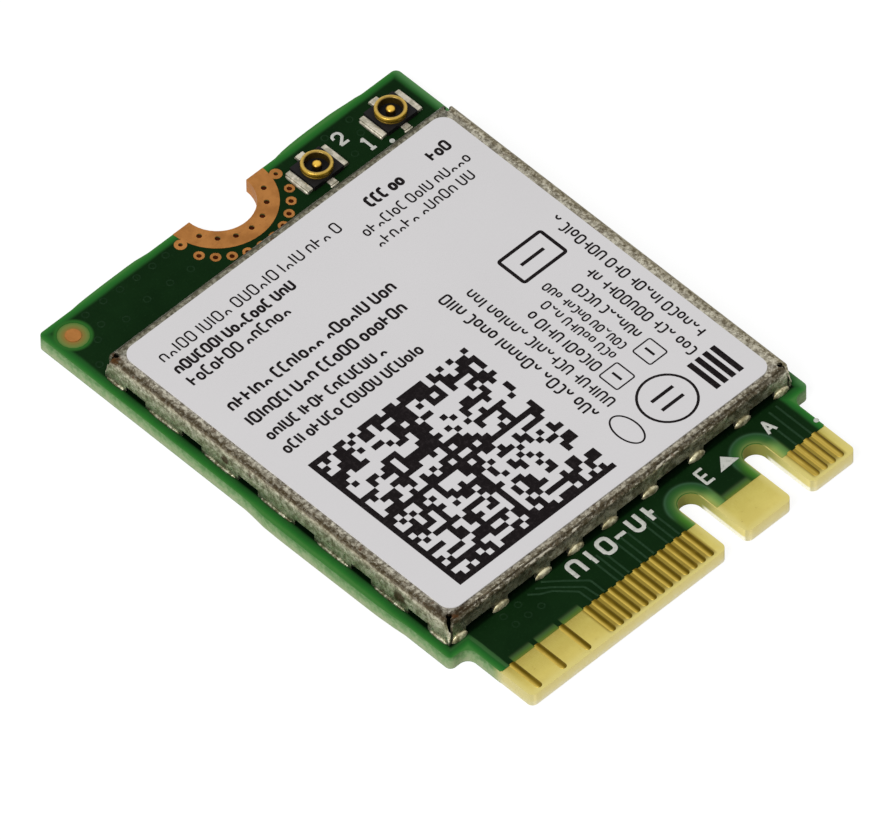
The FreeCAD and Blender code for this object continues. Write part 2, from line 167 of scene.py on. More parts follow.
class Finish(Tree):
    """Node tree of one surface finish."""

    def __init__(self, name, **constants):
        self.material = bpy.data.materials.new(name)
        self.material.use_nodes = True
        super().__init__(self.material.node_tree)
        self.shader = self.tree.nodes["Principled BSDF"]
        self.base = None
        for socket, value in constants.items():
            self.shader.inputs[socket.replace("_", " ")].default_value = value
        place = self.add("TexCoord", out="Object")
        self.place = self.add("VectorMath", {"operation": "SCALE"}, {0: place, "Scale": 1 / MM})
        self.x, self.y, self.z = (
            self.add("SeparateXYZ", sockets={0: self.place}, out=axis) for axis in "XYZ"
        )

    def speckle(self, scale, detail=3.0, roughness=0.55, stretch=(1, 1, 1)):
        """Noise from 0 to 1 with about scale grains in a millimetre."""
        place = self.add("VectorMath", {"operation": "MULTIPLY"}, {0: self.place, 1: stretch})
        settings = {"Vector": place, "Scale": scale, "Detail": detail, "Roughness": roughness}
        return self.add("TexNoise", sockets=settings)

    def blend(self, share, first, second):
        """First colour where share is 0, second where it is 1."""
        first, second = (tone if isinstance(tone, Wire) else colour(*tone) for tone in (first, second))
        return self.add("Mix", {"data_type": "RGBA"}, {0: share, 6: first, 7: second}, out=2)

    def coat(self, share, tone):
        """Lays a colour over the base colour so far."""
        self.base = self.blend(share, self.base, tone)

    def ramp(self, value, *stops):
        """Colour that runs through (value, red, green, blue) stops."""
        first, last = stops[0][0], stops[-1][0]
        share = self.add("MapRange", sockets={"Value": value, "From Min": first, "From Max": last})
        wire = self.add("ValToRGB", sockets={0: share})
        points = wire.socket.node.color_ramp.elements
        points[0].color, points[1].color = colour(*stops[0][1:]), colour(*stops[-1][1:])
        for place, *tone in stops[1:-1]:
            points.new((place - first) / (last - first)).color = colour(*tone)
        return wire

    def window(self, value, low, high, soft):
        """1 between low and high, falling to 0 over a soft edge outside them."""
        return value.rise(low - soft, low) * (1 - value.rise(high, high + soft))

    def length(self, first, second):
        return (first * first + second * second) ** 0.5

    def either(self, value, spans, soft):
        """1 inside any of the (low, high) spans."""
        total = 0.0
        for low, high in spans:
            total = self.window(value, low, high, soft) + total
        return total

    def paint(self, roughness, height, depth):
        """Feeds the shader; height is a relief, depth its size in millimetres."""
        relief = self.add("Bump", sockets={"Strength": 1.0, "Distance": depth * MM, "Height": height})
        for socket, value in (("Base Color", self.base), ("Roughness", roughness), ("Normal", relief)):
            self.feed(self.shader.inputs[socket], value)
        return self.material


# Finishes

def key_gap(f):
    """Distance from the edge of the nearer key slot."""
    past_end = (f.y - KEY_END_Y).at_least(0.0)
    gaps = [f.length(f.x - key, past_end) - KEY_RADIUS for key in KEY_PLACES]
    return gaps[0].at_most(gaps[1])


def upper_half(f):
    """1 on the board's upper half, 0 on its lower one."""
    return f.z.rise(0.3, 0.5)


def fiducial_distance(f):
    middle = (fiducial_low + fiducial_high) / 2
    return f.length(f.x - middle.x, f.y - middle.y)


def mask_finish():
    """Green lacquer: dark over the copper plane, brighter where only laminate lies under it, with painted
    shade under the can and just in front of it.
    """
    f = Finish("green_lacquer", Specular_IOR_Level=0.02)
    wander = (f.speckle(0.8) - 0.5) * 0.10
    dark = f.blend(f.speckle(0.6, detail=5.0), (7, 28, 8), (18, 45, 18))

    sides = board_high.x - abs(f.x)
    back = board_high.y - f.y
    shoulder = f.y - SHOULDER_Y
    on_tongue = (f.y - board_low.y).at_most(SHOULDER_Y + 2.0 - f.y)
    tongue_left = f.x + HALF_TONGUE
    tongue_right = HALF_TONGUE - f.x
    tongue = tongue_left.at_most(tongue_right).at_most(on_tongue)
    inside = sides.at_most(back).at_most(shoulder).at_least(tongue) + wander
    border = f.ramp(
        inside, (0.0, 66, 121, 58), (0.10, 45, 110, 44), (0.20, 36, 100, 39), (0.30, 34, 88, 36),
        (0.60, 28, 62, 28),
    )
    plane_tongue = (tongue_left - 0.12).at_most(tongue_right).at_most(on_tongue)
    plane = (sides - 0.10).at_most(back).at_most(shoulder - 0.10).at_least(plane_tongue) + wander
    f.base = f.blend(plane.rise(0.26, 0.46), border, dark)
    f.coat((1 - (board_high.x - f.x).rise(0.02, 0.42)) * 0.45, (108, 148, 104))
    low_left = (1 - f.y.rise(SHOULDER_Y + 0.1, SHOULDER_Y + 0.6)) * (1 - f.x.rise(-9.2, -9.0))
    rim = f.window(inside, 0.36, 0.48, 0.07) * low_left
    f.coat(rim * 0.55, (66, 104, 60))

    front = f.y - mask_low.y + wander * 0.4
    lip = f.ramp(
        front, (-0.06, 100, 118, 48), (0.05, 76, 103, 40), (0.10, 71, 101, 46), (0.20, 59, 85, 45),
        (0.30, 46, 64, 36), (0.42, 26, 44, 21),
    )
    bare = f.either(f.x, LIP_SPANS, 0.06) * upper_half(f)
    f.coat((1 - front.rise(0.22, 0.42)) * bare, lip)

    gap = key_gap(f) + wander * 0.5
    end_ring = f.ramp(
        gap, (0.0, 122, 134, 70), (0.10, 92, 118, 60), (0.20, 64, 101, 50), (0.34, 46, 90, 42),
        (0.46, 42, 80, 43), (0.56, 52, 85, 58), (0.70, 24, 42, 23),
    )
    right_flank = f.ramp(
        gap, (0.0, 150, 157, 80), (0.12, 149, 162, 85), (0.22, 134, 160, 84), (0.35, 108, 144, 75),
        (0.50, 88, 124, 66), (0.62, 64, 90, 44), (0.80, 24, 42, 22),
    )
    left_flank = f.ramp(
        gap, (0.0, 140, 160, 104), (0.10, 118, 148, 86), (0.20, 80, 127, 50), (0.30, 62, 113, 38),
        (0.50, 42, 80, 30), (0.80, 20, 40, 20),
    )
    right_of_key = f.either(f.x, RIGHT_OF_KEYS, 0.10)
    flank = f.blend(right_of_key, left_flank, right_flank)
    ring = f.blend(f.y.rise(KEY_END_Y - 0.45, KEY_END_Y + 0.30), flank, end_ring)
    f.coat(1 - gap.rise(0.54, 0.72), ring)

    # Painted shade: the lacquer goes near black under the can and in a band just in front of it.
    shade_under_can = f.window(f.y, can_low.y - 0.06, can_high.y, 0.14) * f.window(f.x, can_low.x, can_high.x, 0.02)
    f.coat(shade_under_can * upper_half(f) * 0.8, (2, 8, 3))

    halo = (1 - fiducial_distance(f).rise(0.80, 0.98)) * upper_half(f)
    f.coat(halo * 0.9, (46, 102, 40))
    grain = f.speckle(9.0, detail=5.0)
    f.coat(grain.rise(0.55, 0.85) * 0.25, (46, 78, 46))
    return f.paint(0.35 + grain * 0.16, grain, 0.003)


def laminate_finish():
    """Glass-epoxy: straw yellow where it is bare on the tongue, pale green on the sawn sides; painted shade
    among the contacts and deep in the key slots, painted light on the milled faces and low on the slot walls.
    """
    f = Finish("glass_laminate", Specular_IOR_Level=0.10)
    weave = f.speckle(4.0, stretch=(1, 12, 1)) * 0.5 + f.speckle(4.0, stretch=(12, 1, 1)) * 0.5
    cloud = f.speckle(0.9, detail=4.0)
    left_straw = f.ramp(
        f.y, (-14.8, 211, 194, 110), (-14.4, 206, 188, 98), (-14.0, 195, 177, 89), (-13.6, 187, 171, 84),
        (-13.2, 168, 151, 70), (-13.0, 156, 140, 62),
    )
    middle_straw = f.ramp(
        f.y, (-14.8, 217, 201, 112), (-14.4, 211, 195, 105), (-14.0, 206, 191, 100), (-13.6, 198, 184, 93),
        (-13.2, 186, 172, 85), (-13.0, 172, 158, 76),
    )
    f.base = f.blend(f.x.rise(-6.0, 2.8), left_straw, middle_straw)
    f.coat(weave.rise(0.35, 0.65) * 0.22, (226, 212, 132))
    f.coat(cloud.rise(0.40, 0.66) * 0.22, (178, 158, 70))
    specks = f.speckle(1.8, detail=6.0, roughness=0.7).rise(0.63, 0.70)
    f.coat(specks * 0.6, (136, 108, 46))
    # Painted shade: the bare laminate among the contacts of the two dense rows is painted darker olive.
    shade_between_contacts = f.either(f.x, CONTACT_ROWS, 0.15) * f.y.rise(board_low.y, board_low.y + 0.25) * upper_half(f)
    f.coat(shade_between_contacts * 0.85, f.blend(weave, (122, 101, 28), (146, 123, 42)))
    from_edge = (f.y - board_low.y).at_most(HALF_TONGUE - abs(f.x)).at_most(key_gap(f))
    f.coat((1 - from_edge.rise(0.0, 0.40)) * 0.8, (217, 204, 128))
    from_dot = fiducial_distance(f) + (cloud - 0.5) * 0.10
    opening = f.ramp(
        from_dot, (0.36, 140, 112, 54), (0.50, 120, 114, 55), (0.60, 108, 121, 60), (0.70, 88, 118, 55),
        (0.78, 62, 104, 43),
    )
    at_tongue = 1 - f.y.rise(SHOULDER_Y - 1.2, SHOULDER_Y - 0.8)
    top = f.blend(at_tongue, opening, f.base)

    grit = (f.speckle(3.0, detail=5.0, roughness=0.7).spread() - 0.5) * 0.30
    sawn = f.ramp(
        f.z + grit, (0.0, 154, 164, 130), (0.3, 136, 156, 114), (0.5, 116, 146, 99), (0.76, 86, 124, 73),
    )
    normal = f.add("NewGeometry", out="Normal")
    facing_x, facing_z = (abs(f.add("SeparateXYZ", sockets={0: normal}, out=axis)) for axis in "XZ")
    # Painted light: the milled faces are painted lighter where they face ±Y than where they face ±X, and
    # paler towards the bottom.
    milled_end = f.ramp(f.z + grit * 0.5, (0.0, 244, 236, 200), (0.35, 238, 224, 158), (0.76, 234, 217, 139))
    milled_side = f.ramp(f.z + grit * 0.5, (0.0, 210, 204, 164), (0.35, 204, 193, 134), (0.76, 202, 190, 127))
    milled = f.blend(facing_x.rise(0.3, 0.8), milled_end, milled_side)
    sides = f.blend(f.y.rise(-13.3, -12.4), milled, sawn)
    in_slot = 1 - key_gap(f).rise(0.02, 0.06)
    # Painted shade: the slot walls darken deeper into the slot. Painted light: near the mouth, the lower part
    # of each slot's right-hand wall is painted near white, as if lit from the floor below.
    slot_wall = f.ramp(
        f.y, (-14.7, 228, 214, 138), (-13.5, 213, 204, 128), (-13.0, 198, 190, 114), (-12.6, 166, 164, 93),
        (-12.3, 146, 150, 75), (-11.9, 140, 140, 69),
    )
    right_wall = f.either(f.x, RIGHT_OF_KEYS, 0.05)
    glow = (1 - f.z.rise(0.20, 0.36)) * (1 - f.y.rise(-12.5, -12.1)) * right_wall
    slot_wall = f.blend(glow, slot_wall, (252, 250, 232))
    sides = f.blend(in_slot, sides, slot_wall)
    f.base = f.blend(facing_z.rise(0.4, 0.6), sides, top)
    return f.paint(0.55 + weave * 0.2, weave, 0.004)


def copper_finish():
    """Bare copper, dulled and a little uneven."""
    f = Finish("bare_copper", Metallic=0.45, Specular_IOR_Level=0.2)
    cloud = f.speckle(1.3, detail=4.0)
    spots = f.speckle(6.0, detail=5.0, roughness=0.7).rise(0.58, 0.74)
    f.base = f.blend(cloud.rise(0.3, 0.7), (157, 102, 47), (181, 122, 62))
    f.coat(spots * 0.5, (98, 58, 26))
    return f.paint(0.45 + cloud * 0.2, f.speckle(9.0), 0.003)


def finger_finish():
    """Gold contact: painted highlight along its -X edge and painted shade towards the other."""
    f = Finish("gold_contact", Metallic=0.96)
    across = f.add("Attribute", {"attribute_name": "across"}, out="Fac") - f.x.rise(5.0, 6.0) * 0.5
    along = f.speckle(0.8, detail=4.0, stretch=(1.5, 1, 1))
    marks = f.speckle(3.0, detail=4.0, stretch=(8, 0.7, 8))
    # Painted light across each contact: a highlight at its -X edge and painted shade from its middle to its
    # +X edge; contacts past x = 5 mm are shifted towards the highlight.
    f.base = f.ramp(
        across + (marks - 0.5) * 0.45, (-1.0, 180, 154, 68), (-0.86, 194, 168, 78), (-0.57, 178, 152, 66),
        (-0.29, 140, 117, 40), (0.0, 104, 84, 12), (0.29, 84, 66, 1), (0.57, 88, 71, 3),
        (0.86, 106, 88, 12), (1.0, 118, 98, 20),
    )
    f.coat(along.rise(0.50, 0.66) * 0.30, (140, 114, 34))
    return f.paint(0.25 + marks * 0.18, marks, 0.003)


def port_finish():
    """Gold plating of the antenna ports: painted shade round the pin's edge and in the dark bore, a dull lip,
    and painted shade that darkens the outer wall downwards.
    """
    f = Finish("gold_port", Metallic=0.60)
    reaches = [f.length(f.x - centre.x, f.y - centre.y) for centre in port_centres.values()]
    away = reaches[0].at_most(reaches[1])
    marks = f.speckle(7.0, detail=4.0)
    # Painted shade by distance from the port's axis: dark at the pin's edge and through the bore, up to the
    # inner edge of the lip.
    f.base = f.ramp(
        away, (0.0, 240, 196, 78), (0.15, 230, 184, 66), (0.20, 150, 112, 32), (0.225, 44, 32, 10),
        (0.25, 30, 23, 8), (0.54, 42, 33, 11), (0.575, 96, 76, 28), (0.61, 160, 130, 54),
        (0.66, 196, 164, 76), (0.70, 192, 158, 66), (0.735, 176, 142, 50),
    )
    # Painted shade: the outer wall darkens downwards.
    wall_shade = f.ramp(
        f.z, (0.90, 44, 35, 10), (1.02, 84, 67, 16), (1.15, 136, 108, 24), (1.28, 176, 140, 34),
        (1.37, 190, 154, 52),
    )
    f.coat(away.rise(0.715, 0.735), wall_shade)
    f.coat(marks.rise(0.52, 0.75) * 0.45, (112, 88, 26))
    return f.paint(0.22 + marks * 0.16, marks, 0.003)


def tin_finish():
    """Tinned sheet: mottled cream and grey-green walls; each wall's tone is painted light or shade by the way
    it faces, with a painted dark band along the bends and painted highlights in streaks just below them.
    """
    f = Finish("tinned_sheet", Metallic=0.90)
    from_side = can_high.x - abs(f.x)
    from_end = (f.y - can_low.y).at_most(can_high.y - f.y)
    at_end = (from_side - from_end).rise(-0.04, 0.04)
    along_side = f.speckle(3.0, detail=5.0, roughness=0.75, stretch=(1.6, 0.5, 1.6))
    along_end = f.speckle(3.0, detail=5.0, roughness=0.75, stretch=(0.5, 1.6, 1.6))
    streak = (along_side * (1 - at_end) + along_end * at_end).rise(0.40, 0.60)
    grain = f.speckle(6.0, detail=4.0, roughness=0.8).spread()
    cloud = f.speckle(2.2, detail=6.0, roughness=0.7).spread()
    # Place along the fold: below -0.27 on the wall, above 0.27 on the lid
    fold = from_side.at_most(from_end) - (can_high.z - f.z)
    at_bend = f.window(fold, -0.10, 0.30, 0.08)
    on_wall = 1 - fold.rise(-0.30, -0.12)
    ragged = 0.05 + at_end * 0.05
    # worn is the fold place made ragged near the bend; the tone ramps below paint light and shade along it.
    worn = fold + (streak + grain - 1.0) * ragged * at_bend
    lid = ((0.26, 114, 107, 90), (0.34, 164, 158, 142), (0.45, 150, 145, 133), (0.55, 162, 157, 146))
    # Painted light and shade: the -X wall, the end walls and the +X wall each get their own tone by the way
    # they face, the end walls darkening towards the bend; each ramp paints a dark band at the bend with
    # lighter strips beside it.
    side_tone = f.ramp(
        worn, (-1.40, 92, 97, 70), (-1.30, 116, 120, 92), (-1.18, 168, 174, 140), (-1.02, 172, 180, 143),
        (-0.70, 150, 158, 122), (-0.45, 141, 145, 114), (-0.35, 158, 158, 129), (-0.25, 176, 173, 146),
        (-0.13, 160, 154, 130), (-0.06, 86, 77, 58), (0.05, 54, 45, 29), (0.14, 46, 38, 23),
        (0.21, 76, 68, 51), *lid,
    )
    end_tone = f.ramp(
        worn, (-1.4, 184, 180, 152), (-0.75, 164, 160, 134), (-0.60, 156, 152, 126), (-0.42, 114, 110, 88),
        (-0.27, 84, 79, 59), (-0.12, 50, 45, 30), (-0.06, 84, 77, 60), (0.05, 52, 44, 29),
        (0.13, 34, 28, 16), (0.20, 82, 74, 56), (0.26, 136, 129, 111), *lid[1:],
    )
    right_tone = f.ramp(
        worn, (-0.20, 170, 164, 140), (0.0, 134, 126, 99), (0.14, 120, 111, 84), (0.24, 136, 128, 104),
        (0.40, 158, 151, 131), (0.55, 170, 164, 147),
    )
    side_tone = f.blend(f.x.rise(8.0, 9.0), side_tone, right_tone)
    f.base = f.blend(at_end, side_tone, end_tone)
    near_corner = 1 - f.length(f.x - can_low.x, f.y - can_low.y).rise(*CORNER_GRIME)
    f.coat(near_corner * on_wall * (1 - at_end) * 0.40, (212, 206, 178))
    flat = 1 - at_bend
    blotch = f.speckle(3.6, roughness=0.6).rise(0.36, 0.64)
    f.coat(blotch.rise(0.52, 0.92) * (0.16 + flat * 0.34), (84, 74, 48))
    f.coat((1 - blotch).rise(0.56, 0.94) * flat * 0.42, (226, 222, 202))
    dirt = f.speckle(4.5, roughness=0.7).rise(0.40, 0.60)
    lid_edge = f.window(fold, 0.20, 0.42, 0.06)
    f.coat(dirt.rise(0.50, 0.90) * lid_edge * 0.60, (72, 60, 40))
    f.coat((1 - dirt).rise(0.50, 0.90) * lid_edge * 0.45, (204, 198, 180))
    f.coat(cloud.rise(0.55, 0.95) * (0.06 + on_wall * 0.22), (222, 216, 192))
    f.coat((1 - cloud).rise(0.60, 0.95) * 0.26, (70, 62, 42))
    f.coat(grain.rise(0.60, 0.95) * 0.40, (56, 46, 30))
    f.coat((1 - grain).rise(0.65, 0.95) * (0.12 + on_wall * 0.18), (230, 224, 204))
    # Painted highlight: bright streaks just below the bend, mostly on the end walls.
    bend_highlight = streak.rise(0.76, 0.96) * f.window(fold, -0.12, 0.0, 0.05) * (0.2 + at_end * 0.8)
    f.coat(bend_highlight * 0.6, (222, 216, 198))
    grime = near_corner * f.window(fold, 0.10, 0.45, 0.08)
    f.coat(grime * (0.45 + blotch * 0.50 + at_end * 0.15), (48, 37, 21))
    f.coat(f.y.rise(*BACK_RIM) * at_end * 0.42, (50, 56, 37))
    rust = f.speckle(1.1, detail=5.0, roughness=0.75).rise(0.60, 0.66)
    f.coat(rust * 0.8, (74, 46, 20))
    stain = 0.0
    for y, z, radius in RUST_STAINS:
        away = f.length(f.y - y, f.z - z) + (cloud - 0.5) * 0.14
        stain = (1 - away.rise(radius * 0.5, radius)) + stain
    f.coat(stain * (1 - f.x.rise(can_low.x + 0.3, can_low.x + 0.5)) * 0.90, (64, 38, 9))
    return f.paint(0.26 + grain * 0.24, cloud * 0.5 + grain * 0.5, 0.008)


def solder_finish(name, dull, bright):
    """Reflowed solder with traces of flux."""
    f = Finish(name, Metallic=0.70)
    cloud = f.speckle(3.5, detail=4.0)
    f.base = f.blend(cloud.spread(), dull, bright)
    flux = f.speckle(2.0, detail=5.0, roughness=0.7).rise(0.58, 0.74)
    f.coat(flux * 0.6, (104, 94, 66))
    return f.paint(0.30 + cloud * 0.24, cloud, 0.016)


def moulding_finish(name, tone, lighter):
    """Dull moulding compound with fine grain."""
    f = Finish(name, Specular_IOR_Level=0.15)
    grain = f.speckle(8.0, detail=5.0)
    f.base = f.blend(grain, tone, lighter)
    return f.paint(0.5 + grain * 0.2, grain, 0.006)


def paper_finish():
    """Satin white label with faint fibre and slight waves."""
    f = Finish("label_paper", Specular_IOR_Level=0.05)
    fibre = f.speckle(5.0, detail=5.0, stretch=(1, 3, 1))
    cloud = f.speckle(0.16)
    f.base = f.blend(cloud, (211, 209, 210), (217, 215, 216))
    f.coat(fibre * 0.25, (202, 200, 201))
    return f.paint(0.5 + fibre * 0.1, fibre, 0.002)


def ink_finish(name, tone, worn):
    """Print that lets a little of the ground through."""
    f = Finish(name, Specular_IOR_Level=0.03)
    wear = f.speckle(6.0, detail=5.0, roughness=0.7)
    f.base = f.blend(wear.rise(0.45, 0.75), tone, worn)
    return f.paint(0.6 + wear * 0.1, wear, 0.002)


finishes = {
    "laminate": laminate_finish(),
    "solder_mask": mask_finish(),
    "copper": copper_finish(),
    "gold": finger_finish(),
    "port_insulator": moulding_finish("black_insulator", (12, 11, 12), (27, 25, 26)),
    "tinned_sheet": tin_finish(),
    "solder": solder_finish("bright_solder", (140, 132, 98), (226, 219, 184)),
    "label_paper": paper_finish(),
    "chip_mould": moulding_finish("chip_moulding", (20, 20, 21), (40, 40, 42)),
    "ceramic": moulding_finish("fired_ceramic", (176, 156, 124), (204, 186, 156)),
    "ferrite": moulding_finish("pressed_ferrite", (66, 66, 70), (92, 92, 96)),
}
port_gold = port_finish()
dull_solder = solder_finish("dull_solder", (162, 157, 139), (206, 199, 182))
hole_shade = ink_finish("hole_shade", (58, 21, 5), (80, 34, 11))
label_ink = ink_finish("label_ink", (24, 20, 21), (44, 39, 40))
legend_ink = ink_finish("legend_ink", (196, 197, 190), (158, 162, 153))
trace_lacquer = ink_finish("lacquer_over_traces", (32, 56, 35), (44, 68, 46))
via_lacquer = ink_finish("lacquer_over_vias", (20, 43, 22), (34, 57, 35))

for row in frame["record"]["subparts"]:
    for place in frame["nodes"][row["node"]].material_slots:
        place.material = finishes[row["material_slot"]]


# Mesh helpers, in millimetres in the card's frame

def mesh_of(name, bm, sharp=None):
    """Plain mesh in metres from a drawing in millimetres, softened if a sharp angle is given."""
    bmesh.ops.recalc_face_normals(bm, faces=bm.faces)
    bm.transform(Matrix.Scale(MM, 4))
    mesh = bpy.data.meshes.new(name)
    bm.to_mesh(mesh)
    bm.free()
    if sharp:
        soften(mesh, sharp)
    return mesh


def soften(mesh, degrees):
    """Smooth shading, kept sharp where faces meet at more than the given angle."""
    mesh.polygons.foreach_set("use_smooth", [True] * len(mesh.polygons))
    mesh.set_sharp_from_angle(angle=math.radians(degrees))


def new_object(name, data):
    made = bpy.data.objects.new(name, data)
    bpy.context.scene.collection.objects.link(made)
    return made


def place_piece(name, mesh, slot, finish, *nodes):
    """A finished piece: it rides on the card and stands for the given nodes."""
    mesh.materials.clear()
    mesh.materials.append(finish)
    piece = new_object(name, mesh)
    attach(piece, "root")
    if nodes:
        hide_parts(*nodes)


def merged(node):
    """Drawing of a node, in millimetres, with its loose triangles joined."""
    bm = bmesh.new()
    bm.from_mesh(frame["nodes"][node].data)
    bm.transform(Matrix.Scale(1 / MM, 4))
    bmesh.ops.remove_doubles(bm, verts=bm.verts, dist=1e-4)
    return bm


def islands(node):
    """(low, high) corners of each separate solid of a node, in millimetres."""
    bm = merged(node)
    left = set(bm.verts)
    boxes = []
    while left:
        reached = [left.pop()]
        for vert in reached:
            for edge in vert.link_edges:
                other = edge.other_vert(vert)
                if other in left:
                    left.remove(other)
                    reached.append(other)
        sides = [[v.co[axis] for v in reached] for axis in range(3)]
        boxes.append((Vector(map(min, sides)), Vector(map(max, sides))))
    bm.free()
    return sorted(boxes, key=lambda box: tuple(box[0]))


def loft(bm, rings, closed_ends=True):
    """Skin through rings of points, each ring closed on itself."""
    loops = [[bm.verts.new(point) for point in ring] for ring in rings]
    count = len(rings[0])
    for low, high in zip(loops, loops[1:]):
        for i in range(count):
            j = (i + 1) % count
            bm.faces.new((low[i], low[j], high[j], high[i]))
    if closed_ends:
        bm.faces.new(loops[0])
        bm.faces.new(loops[-1])


def slab(bm, outline, low, high):
    """Flat piece of the given outline between two heights."""
    loft(bm, [[(x, y, z) for x, y in outline] for z in (low, high)])


def turned(bm, middle, profile, steps):
    """Ring turned about a vertical axis from a closed outline of (radius, height) points."""
    rings = []
    for step in range(steps + 1):
        angle = 2 * math.pi * step / steps
        side = Vector((math.cos(angle), math.sin(angle), 0))
        rings.append([middle + side * radius + Vector((0, 0, height)) for radius, height in profile])
    loft(bm, rings, closed_ends=False)
    bmesh.ops.remove_doubles(bm, verts=bm.verts, dist=1e-5)


def arc(middle, radius, start, end, steps):
    """Points of a circular arc in a plane, from start to end degrees."""
    angles = [math.radians(start + (end - start) * i / steps) for i in range(steps + 1)]
    return [(middle[0] + radius * math.cos(a), middle[1] + radius * math.sin(a)) for a in angles]


def soft_block(bm, low, high, radius, seed):
    """Block with rounded, slightly uneven edges, added to the drawing."""
    made = bmesh.ops.create_cube(bm, size=1.0)["verts"]
    size = high - low
    for vert in made:
        vert.co = (low + high) / 2 + Vector(a * b for a, b in zip(vert.co, size))
    edges = {edge for vert in made for edge in vert.link_edges}
    rounded = bmesh.ops.bevel(
        bm, geom=list(edges), offset=radius, offset_type="OFFSET", segments=3, profile=0.6, affect="EDGES"
    )
    for vert in rounded["verts"]:
        push = noise.noise(vert.co * 6 + Vector((seed, 0, 0)))
        vert.co.z += 0.08 * radius * push * (vert.co.z - low.z) / size.z


# Geometry Nodes: copies of one piece at many places, and ridges along lines

class Growth(Tree):
    """Geometry Nodes tree; what it grows gets the Finish."""

    prefix = "GeometryNode"

    def __init__(self, name, sockets):
        super().__init__(bpy.data.node_groups.new(name, "GeometryNodeTree"))
        sockets = {**sockets, "Finish": "Material"}
        for label, kind in sockets.items():
            self.tree.interface.new_socket(label, in_out="INPUT", socket_type="NodeSocket" + kind)
        self.tree.interface.new_socket("Made", in_out="OUTPUT", socket_type="NodeSocketGeometry")
        start = self.tree.nodes.new("NodeGroupInput")
        self.given = {label: Wire(self, start.outputs[label]) for label in sockets}

    def grow(self, kind, sockets):
        """Adds the last node and the finish, and returns the whole tree."""
        real = self.add("RealizeInstances", sockets={0: self.add(kind, sockets=sockets)})
        made = self.add("SetMaterial", sockets={"Geometry": real, "Material": self.given["Finish"]})
        self.end("NodeGroupOutput", "Made", made)
        return self.tree


def copies_tree():
    """Tree that puts a copy of the Pattern on each point, stretched by the point's own size."""
    t = Growth("copies_on_points", {"Points": "Geometry", "Pattern": "Object"})
    pattern = t.add("ObjectInfo", sockets={"Object": t.given["Pattern"]}, out="Geometry")
    size = t.add("InputNamedAttribute", {"data_type": "FLOAT_VECTOR"}, {"Name": "copy_size"}, out="Attribute")
    return t.grow("InstanceOnPoints", {"Points": t.given["Points"], "Instance": pattern, "Scale": size})


def ridges_tree():
    """Tree that turns broken lines into low rounded ridges."""
    t = Growth("ridges_on_lines", {"Lines": "Geometry", "Half Width": "Float", "Bend Radius": "Float"})
    lines = t.add("MeshToCurve", sockets={"Mesh": t.given["Lines"]})
    bends = {"Curve": lines, "Radius": t.given["Bend Radius"], "Count": 4}
    bent = t.add("FilletCurve", {"mode": "POLY"}, bends)
    profile = t.add("CurvePrimitiveCircle", sockets={"Radius": t.given["Half Width"], "Resolution": 8})
    return t.grow("CurveToMesh", {"Curve": bent, "Profile Curve": profile, "Fill Caps": True})


copies_on_points = copies_tree()
ridges_on_lines = ridges_tree()


def grown(name, mesh, tree, **inputs):
    """Plain mesh that the tree makes from a starting mesh."""
    holder = new_object(name, mesh)
    modifier = holder.modifiers.new("growth", "NODES")
    modifier.node_group = tree
    for socket in tree.interface.items_tree:
        if socket.name in inputs:
            modifier[socket.identifier] = inputs[socket.name]
    bpy.context.view_layer.update()
    made = bpy.data.meshes.new_from_object(holder.evaluated_get(bpy.context.evaluated_depsgraph_get()))
    bpy.data.objects.remove(holder)
    return made


def copies(name, pattern, places, finish):
    """Mesh of one copy of the pattern for each (place, size), in millimetres."""
    points = bpy.data.meshes.new(name)
    points.from_pydata([Vector(place) * MM for place, _ in places], [], [])
    sizes = points.attributes.new("copy_size", "FLOAT_VECTOR", "POINT")
    sizes.data.foreach_set("vector", [step for _, size in places for step in size])
    model = new_object(name + "_pattern", pattern)
    made = grown(name, points, copies_on_points, Pattern=model, Finish=finish)
    bpy.data.objects.remove(model)
    return made


def loop(points):
    """Stroke that ends where it starts."""
    return (*points, points[0])


def rectangle(x_low, y_low, x_high, y_high):
    return loop(((x_low, y_low), (x_high, y_low), (x_high, y_high), (x_low, y_high)))


def ridges(name, strokes, z, width, bend, rise, finish):
    """Mesh of flat ridges along strokes, standing a little above z."""
    verts, edges = [], []
    for stroke in strokes:
        closed = stroke[0] == stroke[-1]
        points = stroke[:-1] if closed else stroke
        first = len(verts)
        verts += [Vector((x, y, z)) * MM for x, y in points]
        edges += [(first + i, first + i + 1) for i in range(len(points) - 1)]
        if closed:
            edges.append((len(verts) - 1, first))
    lines = bpy.data.meshes.new(name)
    lines.from_pydata(verts, edges, [])
    sizes = {"Half Width": width / 2 * MM, "Bend Radius": bend * MM}
    made = grown(name, lines, ridges_on_lines, Finish=finish, **sizes)
    for vert in made.vertices:
        vert.co.z = z * MM + (vert.co.z - z * MM) * rise / (width / 2)
    return made


def joined(name, meshes):
    bm = bmesh.new()
    for mesh in meshes:
        bm.from_mesh(mesh)
    made = bpy.data.meshes.new(name)
    bm.to_mesh(made)
    bm.free()
    soften(made, 60)
    return made


# Edge contacts

FINGER_STEPS, TIP_STEPS = 12, 6
FINGER_CROWN = 0.96


